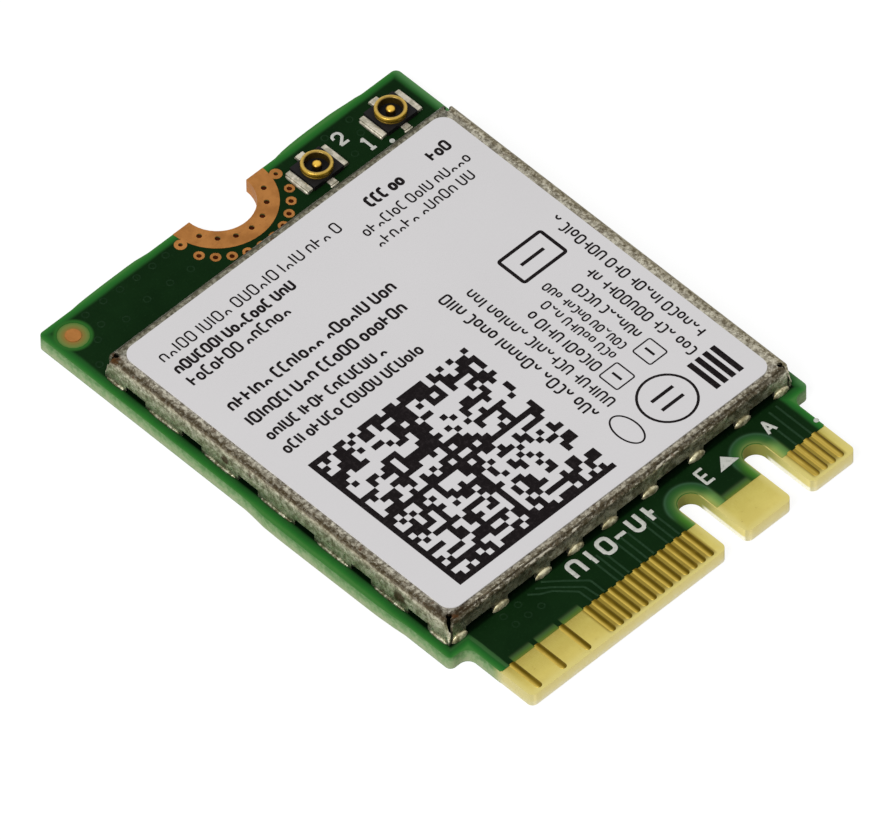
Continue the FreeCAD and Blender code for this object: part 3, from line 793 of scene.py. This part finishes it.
def finger_pattern(width, length, height):
    """One contact: crowned across, with a round tip, flat below and square where the mask starts."""
    across = [-1 + 2 * i / FINGER_STEPS for i in range(FINGER_STEPS + 1)]
    tip = [1 - math.cos(math.pi / 2 * i / TIP_STEPS) for i in range(1, TIP_STEPS + 1)]
    spine = [(share * width / 2, math.sqrt(1 - (1 - share) ** 2)) for share in tip] + [(length, 1.0)]
    rings = []
    for y, reach in spine:
        half, top = reach * width / 2, height * reach
        crown = [(u * half, y, top * (1 - abs(u) ** 3 * FINGER_CROWN)) for u in across]
        rings.append([(-half, y, 0), *crown, (half, y, 0)])
    bm = bmesh.new()
    loft(bm, rings)
    mesh = mesh_of("finger", bm, 50)
    shares = mesh.attributes.new("across", "FLOAT", "POINT")
    shares.data.foreach_set("value", [vert.co.x / MM / (width / 2) for vert in mesh.vertices])
    return mesh


def contact_fingers(name, node, upward):
    boxes = islands(node)
    low, high = boxes[0]
    pattern = finger_pattern(high.x - low.x, high.y - low.y, high.z - low.z)
    seat = low.z if upward else high.z
    size = (1, 1, 1 if upward else -1)
    places = [(((low.x + high.x) / 2, low.y, seat), size) for low, high in boxes]
    mesh = copies(name, pattern, places, finishes["gold"])
    if not upward:
        mesh.flip_normals()
    place_piece(name, mesh, "gold", finishes["gold"], node)


contact_fingers("contact_fingers_top", "edge_contacts_top", True)
contact_fingers("contact_fingers_bottom", "edge_contacts_bottom", False)


# Antenna ports

PORT_WALL = 0.19
PORT_HEIGHT = 0.60
PORT_FOOT = 0.12
PORT_LIP = 0.08
GROOVE_LOW, GROOVE_HIGH, GROOVE_DEPTH = 0.28, 0.36, 0.03
PIN_RADIUS, PIN_HEIGHT, PIN_FOOT = 0.225, 0.57, 0.16
LEG_WIDTH, LEG_LENGTH, LEG_HEIGHT = 0.30, 1.50, 0.20
TAB_HALF, TAIL_HALF = 0.24, 0.20
TAB_GAP, TAIL_GAP = 0.08, 0.06
FOOT_ROUNDING = 0.05
PIN_DOME = 0.6
RING_STEPS, POST_STEPS = 72, 48


def port_profile(radius):
    """Closed outline of the ring's wall: snap groove outside and a rolled lip on top."""
    inner = radius - PORT_WALL
    middle = (GROOVE_LOW + GROOVE_HIGH) / 2
    groove = [(radius, GROOVE_LOW), (radius - GROOVE_DEPTH, middle), (radius, GROOVE_HIGH)]
    shoulder = PORT_HEIGHT - PORT_LIP
    outer_roll = arc((radius - PORT_LIP, shoulder), PORT_LIP, 0, 90, 6)
    inner_roll = arc((inner + PORT_LIP, shoulder), PORT_LIP, 90, 180, 6)
    return [(inner, PORT_FOOT), (radius, PORT_FOOT), *groove, *outer_roll, *inner_roll]


def pin_profile():
    """Half outline of the domed pin, down into the island."""
    shoulder = PIN_HEIGHT - PIN_RADIUS * PIN_DOME
    dome = [(x, shoulder + y * PIN_DOME) for x, y in arc((0, 0), PIN_RADIUS, 0, 90, 8)]
    return [(0, PIN_FOOT), (PIN_RADIUS, PIN_FOOT), *dome]


def antenna_port(side, seed):
    centre = port_centres[side]
    radius = mount(f"{side}_antenna_port")["dims"]["r_mm"]
    base = Vector((centre.x, centre.y, mask_high.z))
    for part, profile, steps, node in (
        ("ring", port_profile(radius), RING_STEPS, "shell"), ("post", pin_profile(), POST_STEPS, "pin"),
    ):
        bm = bmesh.new()
        turned(bm, base, profile, steps)
        mesh = mesh_of(f"{side}_port_{part}", bm, 40)
        place_piece(f"{side}_port_{part}", mesh, "gold", port_gold, f"{side}_port_{node}")

    shell_low, shell_high = in_mm(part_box(f"{side}_port_shell"))
    pin_low, _ = in_mm(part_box(f"{side}_port_pin"))
    front, back = base.y - LEG_LENGTH / 2, base.y + LEG_LENGTH / 2
    spans = [
        ((shell_low.x, front), (shell_low.x + LEG_WIDTH, back), LEG_HEIGHT),
        ((shell_high.x - LEG_WIDTH, front), (shell_high.x, back), LEG_HEIGHT),
        ((base.x - TAB_HALF, base.y + radius + TAB_GAP), (base.x + TAB_HALF, shell_high.y), LEG_HEIGHT),
        ((base.x - TAIL_HALF, pin_low.y), (base.x + TAIL_HALF, base.y - radius - TAIL_GAP), LEG_HEIGHT / 2),
    ]
    feet = bmesh.new()
    for i, (low, high, height) in enumerate(spans):
        soft_block(feet, Vector((*low, base.z)), Vector((*high, base.z + height)), FOOT_ROUNDING, seed + i)
    mesh = mesh_of(f"{side}_port_feet", feet, 60)
    place_piece(f"{side}_port_feet", mesh, "solder", dull_solder, f"{side}_port_shell")


antenna_port("main", 1)
antenna_port("aux", 11)


# Shield can and solder

# Share of its box that a bead fills in length and in height, and how sharply its ends run out
END_BEAD = (1.20, 0.80, 0.55)
SIDE_BEAD = (0.84, 0.40, 0.30)
PORT_BEAD = (1.00, 0.98, 0.18)
BEAD_STEPS, BEAD_CURVE = 20, 8


def bead(bm, low, high, wall_axis, wall_side, shares, seed):
    """Streak of solder over a box: it climbs the wall, spreads on the board and runs out thin at its ends."""
    along = 1 - wall_axis
    length = (high[along] - low[along]) * shares[0]
    start = (high[along] + low[along] - length) / 2
    rings = []
    for i in range(BEAD_STEPS + 1):
        share = i / BEAD_STEPS
        swell = max(math.sin(math.pi * share), 0.0) ** shares[2] * 0.95 + 0.05
        swell *= 0.94 + 0.24 * shares[2] * noise.noise(Vector((share * 2.3, seed * 1.7, 0)))
        ring = []
        for k in range(BEAD_CURVE + 1):
            turn = math.pi / 2 * k / BEAD_CURVE
            wave = 1 + 0.35 * shares[2] * noise.noise(Vector((share * 5, turn * 2, seed)))
            point = Vector((0, 0, low.z + math.sin(turn) * swell * shares[1] * (high.z - low.z)))
            point[along] = start + share * length
            reach = math.cos(turn) * swell * wave * (high[wall_axis] - low[wall_axis])
            point[wall_axis] = low[wall_axis] + reach if wall_side > 0 else high[wall_axis] - reach
            ring.append(point)
        corner = ring[-1].copy()
        corner.z = low.z
        rings.append([*ring, corner])
    loft(bm, rings)


def solder_beads(name, node, boxes, wall_of, shares, finish):
    bm = bmesh.new()
    for seed, (low, high) in enumerate(boxes):
        axis, side = wall_of((low + high) / 2)
        bead(bm, low, high, axis, side, shares, seed)
    place_piece(name, mesh_of(name, bm, 50), "solder", finish, node)


def can_wall(middle):
    """Wall of the can that a bead lies against: axis, and the side it is on."""
    if can_low.y < middle.y < can_high.y:
        return 0, math.copysign(1, middle.x)
    return 1, math.copysign(1, middle.y)


def port_wall(middle):
    """Side of a port that a bead lies against."""
    nearest = min(port_centres.values(), key=lambda port: abs(port.x - middle.x))
    offset = middle - nearest
    axis = 0 if abs(offset.x) > abs(offset.y) else 1
    return axis, math.copysign(1, offset[axis])


folded = mesh_of("folded_shield", merged("shield_can"), 35)
place_piece("folded_shield", folded, "tinned_sheet", finishes["tinned_sheet"], "shield_can")
can_boxes = islands("shield_solder")
end_boxes = [box for box in can_boxes if can_wall((box[0] + box[1]) / 2)[0] == 1]
side_boxes = [box for box in can_boxes if box not in end_boxes]
solder_beads("shield_end_beads", "shield_solder", end_boxes, can_wall, END_BEAD, finishes["solder"])
solder_beads("shield_side_beads", "shield_solder", side_boxes, can_wall, SIDE_BEAD, finishes["tinned_sheet"])
solder_beads("port_beads", "port_solder", islands("port_solder"), port_wall, PORT_BEAD, dull_solder)


# Board edge and holes

# Stubs left where the board was broken out of its panel: edge, then (place along it, reach) points
PANEL_STUBS = (
    ("back", (
        (-8.90, 0.0), (-8.50, 0.040), (-8.00, 0.062), (-7.00, 0.084), (-5.50, 0.090), (-5.00, 0.082),
        (-4.50, 0.026), (-4.25, 0.0),
    )),
    ("back", (
        (3.50, 0.0), (4.00, 0.080), (4.50, 0.122), (5.00, 0.146), (5.60, 0.155), (7.00, 0.150),
        (7.50, 0.122), (8.00, 0.080), (8.50, 0.050), (8.85, 0.0),
    )),
    ("left", (
        (-8.40, 0.0), (-7.50, 0.075), (-6.50, 0.125), (-4.50, 0.140), (-0.50, 0.158), (0.55, 0.140),
        (1.10, 0.080), (1.60, 0.030), (2.20, 0.0),
    )),
)
# Uneven front line of the mask: strips that run on past the drawn edge, as low and high corners
MASK_STRIPS = (
    (-9.86, -13.05, 1.96, -13.00), (3.28, -13.05, 5.97, -12.75), (7.29, -13.05, 9.86, -13.00),
)
LAND_HOLES = 7
LAND_HOLE_STEP = 22.0
LAND_HOLE_REACH = 2.17
LAND_HOLE_RADIUS = 0.14
LOBE_HOLES = ((-2.923, 14.325), (2.923, 14.325))
LOBE_HOLE_RADIUS = 0.11
PLUG_LIFT, PLUG_DEPTH = 0.1, 0.03
VIA_HOLE, VIA_BARREL, VIA_PAD, VIA_PAD_HEIGHT, VIA_EDGE = 0.12, 0.155, 0.265, 0.035, 0.008


def stub_outline(edge, run):
    if edge == "back":
        return [(along, board_high.y + out) for along, out in run]
    return [(board_low.x - out, along) for along, out in run]


def board_edge():
    strips = [rectangle(*strip)[:-1] for strip in MASK_STRIPS]
    stubs = [stub_outline(*stub) for stub in PANEL_STUBS]
    for name, slot, low, high, outlines in (
        ("panel_stubs", "laminate", board_low.z, board_high.z, stubs),
        ("panel_stub_mask", "solder_mask", mask_low.z, mask_high.z, stubs),
        ("front_mask_strips", "solder_mask", mask_low.z, mask_high.z, strips),
    ):
        bm = bmesh.new()
        for outline in outlines:
            slab(bm, outline, low, high)
        place_piece(name, mesh_of(name, bm), slot, finishes[slot])


def ground_vias():
    """Round plated vias; returns where they are."""
    boxes = islands("ground_vias")
    low, high = boxes[0][0].z, boxes[0][1].z
    shelf, shoulder = high - VIA_PAD_HEIGHT, high - VIA_EDGE
    profile = [
        (VIA_HOLE, low), (VIA_BARREL, low), (VIA_BARREL, shelf), (VIA_PAD, shelf), (VIA_PAD, shoulder),
        (VIA_PAD - VIA_EDGE, high), (VIA_HOLE + VIA_EDGE, high), (VIA_HOLE, shoulder),
    ]
    bm = bmesh.new()
    turned(bm, Vector(), profile, 24)
    pattern = mesh_of("via", bm, 40)
    middles = [((box[0].x + box[1].x) / 2, (box[0].y + box[1].y) / 2) for box in boxes]
    places = [((x, y, 0.0), (1, 1, 1)) for x, y in middles]
    mesh = copies("ground_via_rings", pattern, places, finishes["copper"])
    place_piece("ground_via_rings", mesh, "copper", finishes["copper"], "ground_vias")
    return middles


def hole_plugs(vias):
    """Shaded bottoms of the drilled holes in the land and of the ground vias."""
    holes = [(place, VIA_HOLE) for place in vias] + [(place, LOBE_HOLE_RADIUS) for place in LOBE_HOLES]
    for i in range(LAND_HOLES):
        angle = 270 + LAND_HOLE_STEP * (i - (LAND_HOLES - 1) / 2)
        place = arc((0.0, board_high.y), LAND_HOLE_REACH, angle, angle, 1)[0]
        holes.append((place, LAND_HOLE_RADIUS))
    bm = bmesh.new()
    for place, radius in holes:
        slab(bm, arc(place, radius, 0, 330, 11), board_low.z + PLUG_LIFT, board_high.z - PLUG_DEPTH)
    place_piece("hole_plugs", mesh_of("hole_plugs", bm), "copper", hole_shade)


board_edge()
hole_plugs(ground_vias())


# Label print: plain bars, loops and arches that stand for the print without repeating it

INK_HEIGHT = 0.004
PRINT_BEND = 0.11
PRINT_GAP = 0.33
WORD_LENGTHS = (3, 7)
# Forms in a cell one high: width, then strokes
PRINT_FORMS = (
    (0.06, (((0.03, 0.0), (0.03, 1.0)),)),
    (0.56, (rectangle(0.0, 0.0, 0.56, 1.0),)),
    (0.50, (((0.0, 0.0), (0.0, 0.72), (0.50, 0.72), (0.50, 0.0)),)),
    (0.54, (((0.0, 1.0), (0.0, 0.0), (0.54, 0.0), (0.54, 1.0)),)),
    (0.44, (((0.0, 0.0), (0.0, 1.0)), ((0.0, 0.5), (0.44, 0.5)))),
    (0.42, (((0.42, 0.0), (0.0, 0.0), (0.0, 1.0), (0.42, 1.0)),)),
    (0.48, (((0.0, 0.0), (0.24, 1.0), (0.48, 0.0)),)),
    (0.46, (rectangle(0.0, 0.0, 0.46, 0.66),)),
)
# Fields of print: low corner, high corner and stroke; a tall field is print turned by a quarter
PRINT_FIELDS = (
    (-8.96, 8.98, 2.28, 9.64, 0.09), (-8.96, 8.02, -1.54, 8.66, 0.135), (-8.96, 7.10, -2.84, 7.78, 0.12),
    (3.70, 9.00, 5.87, 9.68, 0.16), (7.50, 9.02, 9.30, 9.68, 0.14),
    (2.40, 7.92, 8.98, 8.52, 0.09), (2.40, 7.05, 8.30, 7.66, 0.09),
    (-8.76, 4.83, 1.52, 5.54, 0.135), (-8.74, 3.64, 1.28, 4.34, 0.135),
    (-8.72, 2.48, -1.40, 3.12, 0.125), (-8.74, 1.42, -0.14, 2.07, 0.125),
    (1.97, -6.47, 2.64, 3.72, 0.11), (3.00, -6.50, 3.63, 2.76, 0.10), (4.00, -4.64, 4.63, -0.12, 0.10),
    (4.95, -4.64, 5.50, 0.02, 0.09), (5.73, -4.55, 6.23, 0.70, 0.09), (6.60, -4.52, 7.18, -0.22, 0.10),
    (7.63, -6.92, 8.24, 0.0, 0.10), (8.66, -6.40, 9.27, 3.00, 0.10),
)
# Plain shapes where the label has marks: width of the stroke, then strokes
PLAIN_SHAPES = (
    (0.08, (rectangle(4.02, -6.08, 5.14, -4.94),
            rectangle(6.06, -6.08, 7.14, -4.96))),
    (0.13, (loop(arc((5.26, -7.97), 1.36, 0, 350, 35)),
            ((4.58, -5.80), (4.58, -5.22)), ((6.60, -5.80), (6.60, -5.22)))),
    (0.09, (loop([(2.76 + 0.55 * x, -8.0 + 0.95 * y) for x, y in arc((0, 0), 1, 0, 350, 35)]),)),
    (0.18, (rectangle(5.46, 1.18, 8.04, 2.83),
            ((6.05, 2.00), (7.45, 2.00)),
            ((4.60, -8.30), (5.92, -8.30)), ((4.60, -7.64), (5.92, -7.64)))),
    (0.30, tuple(((7.30 + 0.47 * i, -9.12), (7.30 + 0.47 * i, -7.24)) for i in range(4))),
)
CODE_CELLS = 32
CODE_LOW = (-8.58, -9.17)
CODE_SIDE = 9.56


def print_line(rng, length, height):
    """Strokes of one line of print along +X, in words of chance length."""
    strokes = []
    x = 0.0
    left = rng.randint(*WORD_LENGTHS)
    while True:
        width, form = rng.choice(PRINT_FORMS)
        if x + width * height > length:
            return strokes
        for points in form:
            strokes.append([(x + a * height, b * height) for a, b in points])
        x += (width + PRINT_GAP) * height
        left -= 1
        if left == 0:
            x += PRINT_GAP * height
            left = rng.randint(*WORD_LENGTHS)


def print_field(rng, x_low, y_low, x_high, y_high, stroke):
    """Strokes that fill a field with one line of print."""
    half = stroke / 2
    wide, tall = x_high - x_low - stroke, y_high - y_low - stroke
    if wide > tall:
        lines = print_line(rng, wide, tall)
        return [[(x_low + half + a, y_low + half + b) for a, b in points] for points in lines]
    lines = print_line(rng, tall, wide)
    return [[(x_high - half - b, y_low + half + a) for a, b in points] for points in lines]


def code_marks():
    """(x, y, width, depth) of runs of dark cells, by chance, in a square quartered by solid lines."""
    rng = random.Random(SEED + 1)
    cell = CODE_SIDE / CODE_CELLS
    solid = (0, CODE_CELLS // 2)
    marks = []
    for row in range(CODE_CELLS):
        run = 0
        for column in range(CODE_CELLS + 1):
            dark = row in solid or column in solid or rng.random() < 0.5
            if dark and column < CODE_CELLS:
                run += 1
            elif run:
                x, y = CODE_LOW[0] + (column - run) * cell, CODE_LOW[1] + row * cell
                marks.append((x, y, run * cell, cell))
                run = 0
    return marks


def unit_block():
    """Block one millimetre on a side, standing on its middle; a copy's size makes it a mark."""
    bm = bmesh.new()
    bmesh.ops.create_cube(bm, size=1.0, matrix=Matrix.Translation((0, 0, 0.5)))
    return mesh_of("mark", bm)


def label_print():
    rng = random.Random(SEED)
    z = label_high.z
    by_stroke = {}
    for *box, stroke in PRINT_FIELDS:
        by_stroke.setdefault(stroke, []).extend(print_field(rng, *box, stroke))
    for stroke, strokes in PLAIN_SHAPES:
        by_stroke.setdefault(stroke, []).extend(strokes)
    lines = [ridges("print", strokes, z, stroke, PRINT_BEND, INK_HEIGHT, label_ink)
             for stroke, strokes in by_stroke.items()]
    place_piece("label_lines", joined("label_lines", lines), "label_paper", label_ink)
    places = [((x + w / 2, y + d / 2, z), (w, d, INK_HEIGHT)) for x, y, w, d in code_marks()]
    code = copies("label_block", unit_block(), places, label_ink)
    place_piece("label_block", code, "label_paper", label_ink)


label_print()


# Board legend, traces and vias

LEGEND_HEIGHT = 0.012
# Numerals beside the ports and letters beside the key slots: bend, then strokes
SIGN_STROKE = 0.145
LEGEND_SIGNS = (
    (0.19, (((6.12, 13.92), (6.12, 14.17), (6.56, 14.17), (6.56, 13.86), (6.14, 13.49)),)),
    (0.01, (
        ((6.12, 13.47), (6.59, 13.47)),
        ((6.90, 12.96), (7.06, 13.10), (7.06, 12.36)), ((6.90, 12.36), (7.20, 12.36)),
        ((7.87, -11.71), (8.09, -11.00), (8.32, -11.71)), ((7.94, -11.48), (8.25, -11.48)),
        ((4.36, -10.98), (3.92, -10.98), (3.92, -11.79), (4.37, -11.79)),
        ((3.92, -11.38), (4.29, -11.38)),
    )),
)
LEGEND_DOTS = ((9.86, -12.59), (7.92, 12.08))
DOT_RADIUS = 0.125
KEY_ARROW = ((5.40, -11.09), (4.80, -11.77), (5.95, -11.73))
# Plain shapes where the board carries a number
NUMBER_STROKE = 0.21
NUMBER_BEND = 0.22
NUMBER_SHAPES = (
    ((-3.79, -11.62), (-3.79, -10.76), (-3.21, -10.76), (-3.21, -11.62)),
    ((-2.62, -11.62), (-2.62, -10.76)),
    rectangle(-1.99, -11.62, -1.41, -10.76),
    ((-1.10, -11.19), (-0.54, -11.19)),
    ((-0.15, -10.76), (-0.15, -11.62), (0.36, -11.62), (0.36, -10.76)),
    ((0.88, -11.62), (0.88, -10.76)), ((0.88, -11.19), (1.16, -11.19)),
)


def board_legend():
    z = mask_high.z
    signs = [ridges("signs", strokes, z, SIGN_STROKE, bend, LEGEND_HEIGHT, legend_ink)
             for bend, strokes in LEGEND_SIGNS]
    number = ridges("number", NUMBER_SHAPES, z, NUMBER_STROKE, NUMBER_BEND, LEGEND_HEIGHT, legend_ink)
    bm = bmesh.new()
    for outline in [KEY_ARROW] + [arc(dot, DOT_RADIUS, 0, 345, 23) for dot in LEGEND_DOTS]:
        slab(bm, outline, z, z + LEGEND_HEIGHT)
    marks = mesh_of("marks", bm)
    place_piece("board_legend", joined("board_legend", [*signs, number, marks]), "label_paper", legend_ink)


# Copper under the mask shows as faint low ridges
TRACE_WIDTH = 0.11
TRACE_RISE = 0.008
TRACE_BEND = 0.20
SLANT_TRACES = (
    ((-6.06, -10.74), (-5.66, -11.10), (-5.14, -11.36), (-4.34, -12.20), (-4.30, -12.97)),
    ((-5.58, -10.74), (-5.02, -11.18), (-3.98, -12.18), (-3.90, -12.97)),
    ((-5.14, -10.64), (-4.38, -11.30), (-3.54, -12.10), (-3.54, -12.97)),
)
# Straight traces: place in x, and how far up they run
STRAIGHT_TRACES = (
    (-2.70, -11.30), (-2.36, -11.25), (-2.02, -11.30), (-1.26, -11.30), (-0.90, -11.25), (-0.50, -11.30),
    (0.34, -11.30), (0.70, -11.20), (1.06, -11.30), (8.26, -11.80), (8.71, -10.80), (9.18, -10.75),
)
TRACE_START = -12.97
# Traces of the lower contacts: how far up they run, in turn, and where they start between the keys
LOWER_TOPS = (-11.3, -10.1, -11.9)
LOWER_KEY_START = -12.74


def lower_traces():
    """Start and end of the trace from each lower contact."""
    traces = []
    for i, x in enumerate(sorted((low.x + high.x) / 2 for low, high in islands("edge_contacts_bottom"))):
        start = LOWER_KEY_START if KEY_PLACES[0] < x < KEY_PLACES[1] else TRACE_START
        traces.append(((x, start), (x, LOWER_TOPS[i % len(LOWER_TOPS)])))
    return traces


def board_traces():
    upper = [*SLANT_TRACES, *(((x, TRACE_START), (x, top)) for x, top in STRAIGHT_TRACES)]
    meshes = [ridges("traces", strokes, z, TRACE_WIDTH, TRACE_BEND, TRACE_RISE, trace_lacquer)
              for strokes, z in ((upper, mask_high.z), (lower_traces(), under_mask.z))]
    place_piece("trace_ridges", joined("trace_ridges", meshes), "solder_mask", trace_lacquer)


# Covered vias: faint rings on the mask
VIA_RING_RADIUS, VIA_RING_HALF, VIA_RING_FLATNESS = 0.16, 0.035, 0.3
COVERED_VIAS = (
    (7.44, 14.30), (7.27, 13.40), (5.91, 14.30), (6.23, 12.70),
    (-8.69, 14.35), (-7.58, 14.38), (-6.59, 14.35), (-5.60, 14.32), (-4.64, 14.32), (-3.80, 14.35),
    (-8.57, 13.48), (-9.29, 12.94), (-7.58, 12.91), (-6.14, 13.09), (-4.76, 13.06), (-3.56, 13.00),
    (-10.22, 11.86), (-7.66, -10.90), (-6.74, -10.86), (-7.58, -11.58), (-6.82, -11.58), (-6.06, -11.62),
)


def covered_vias():
    ring = bmesh.new()
    outline = arc((VIA_RING_RADIUS, 0.0), VIA_RING_HALF, 0, 324, 9)
    turned(ring, Vector(), [(r, z * VIA_RING_FLATNESS) for r, z in outline], 20)
    pattern = mesh_of("via_ring", ring, 80)
    places = [((x, y, mask_high.z), (1, 1, 1)) for x, y in COVERED_VIAS]
    lower_ends = [(x, top + VIA_RING_RADIUS) for _, (x, top) in lower_traces()]
    places += [((x, y, under_mask.z), (1, 1, 0.8)) for x, y in (*COVERED_VIAS, *lower_ends)]
    mesh = copies("covered_vias", pattern, places, via_lacquer)
    place_piece("covered_vias", mesh, "solder_mask", via_lacquer)


board_legend()
board_traces()
covered_vias()


# Studio

SEEN_RAYS = ("Is Camera Ray", "Is Glossy Ray", "Is Transmission Ray")
WORLD_FILL = 0.50
KEY_LAMP = {"place": (-0.562, -0.094, 0.562), "size": 0.45, "watts": 4.55}
FLOOR_HALF = 1.0
FLOOR_DROP = 0.00002
FLOOR_LIT, FLOOR_SEEN, FLOOR_GLOW = 0.80, 0.18, 0.88


def cleared_tree(owner):
    owner.use_nodes = True
    owner.node_tree.nodes.clear()
    return Tree(owner.node_tree)


def by_ray(tree, lit, seen, output):
    """Ends a tree: one shader for rays that carry light to the card, another for rays that show it."""
    camera_ray, glossy_ray, clear_ray = (tree.add("LightPath", out=name) for name in SEEN_RAYS)
    share = camera_ray.at_least(glossy_ray).at_least(clear_ray)
    tree.end(output, "Surface", tree.add("MixShader", sockets={0: share, 1: lit, 2: seen}))


def white_world():
    world = bpy.data.worlds.new("white_surround")
    bpy.context.scene.world = world
    tree = cleared_tree(world)
    white = {"Color": (1, 1, 1, 1)}
    fill, seen = (tree.add("Background", sockets={**white, "Strength": s}) for s in (WORLD_FILL, 1.0))
    by_ray(tree, fill, seen, "ShaderNodeOutputWorld")


def pale_floor():
    """White floor: it lights the card as plain white card does, and shows a faint shadow."""
    material = bpy.data.materials.new("pale_floor")
    tree = cleared_tree(material)
    plain, shaded = (tree.add("BsdfDiffuse", sockets={0: (c, c, c, 1)}) for c in (FLOOR_LIT, FLOOR_SEEN))
    glow = tree.add("Emission", sockets={"Strength": FLOOR_GLOW})
    by_ray(tree, plain, tree.add("AddShader", sockets={0: shaded, 1: glow}), "ShaderNodeOutputMaterial")
    mesh = bpy.data.meshes.new("floor")
    corners = [(x * FLOOR_HALF, y * FLOOR_HALF) for x, y in ((-1, -1), (1, -1), (1, 1), (-1, 1))]
    mesh.from_pydata([(x, y, -FLOOR_DROP) for x, y in corners], [], [(0, 1, 2, 3)])
    mesh.materials.append(material)
    floor = new_object("floor", mesh)


def key_lamp():
    data = bpy.data.lights.new("key_lamp", "AREA")
    data.size = KEY_LAMP["size"]
    data.energy = KEY_LAMP["watts"]
    lamp = new_object("key_lamp", data)
    lamp.location = KEY_LAMP["place"]
    lamp.rotation_euler = (-lamp.location).to_track_quat("-Z", "Y").to_euler()
    lamp.visible_camera = False


def camera():
    data = bpy.data.cameras.new("photo_camera")
    data.sensor_width = SENSOR_WIDTH
    data.lens = FOCAL_PIXELS * SENSOR_WIDTH / IMAGE_WIDTH
    data.clip_start, data.clip_end = CLIP
    right = Vector(CAMERA_RIGHT)
    ahead = Vector(CAMERA_AHEAD)
    turn = Matrix((right, right.cross(ahead), -ahead)).transposed()
    holder = new_object("photo_camera", data)
    holder.matrix_world = Matrix.Translation(CAMERA_PLACE) @ turn.to_4x4()
    bpy.context.scene.camera = holder


white_world()
pale_floor()
key_lamp()
camera()
bpy.context.scene.view_settings.view_transform = "Standard"
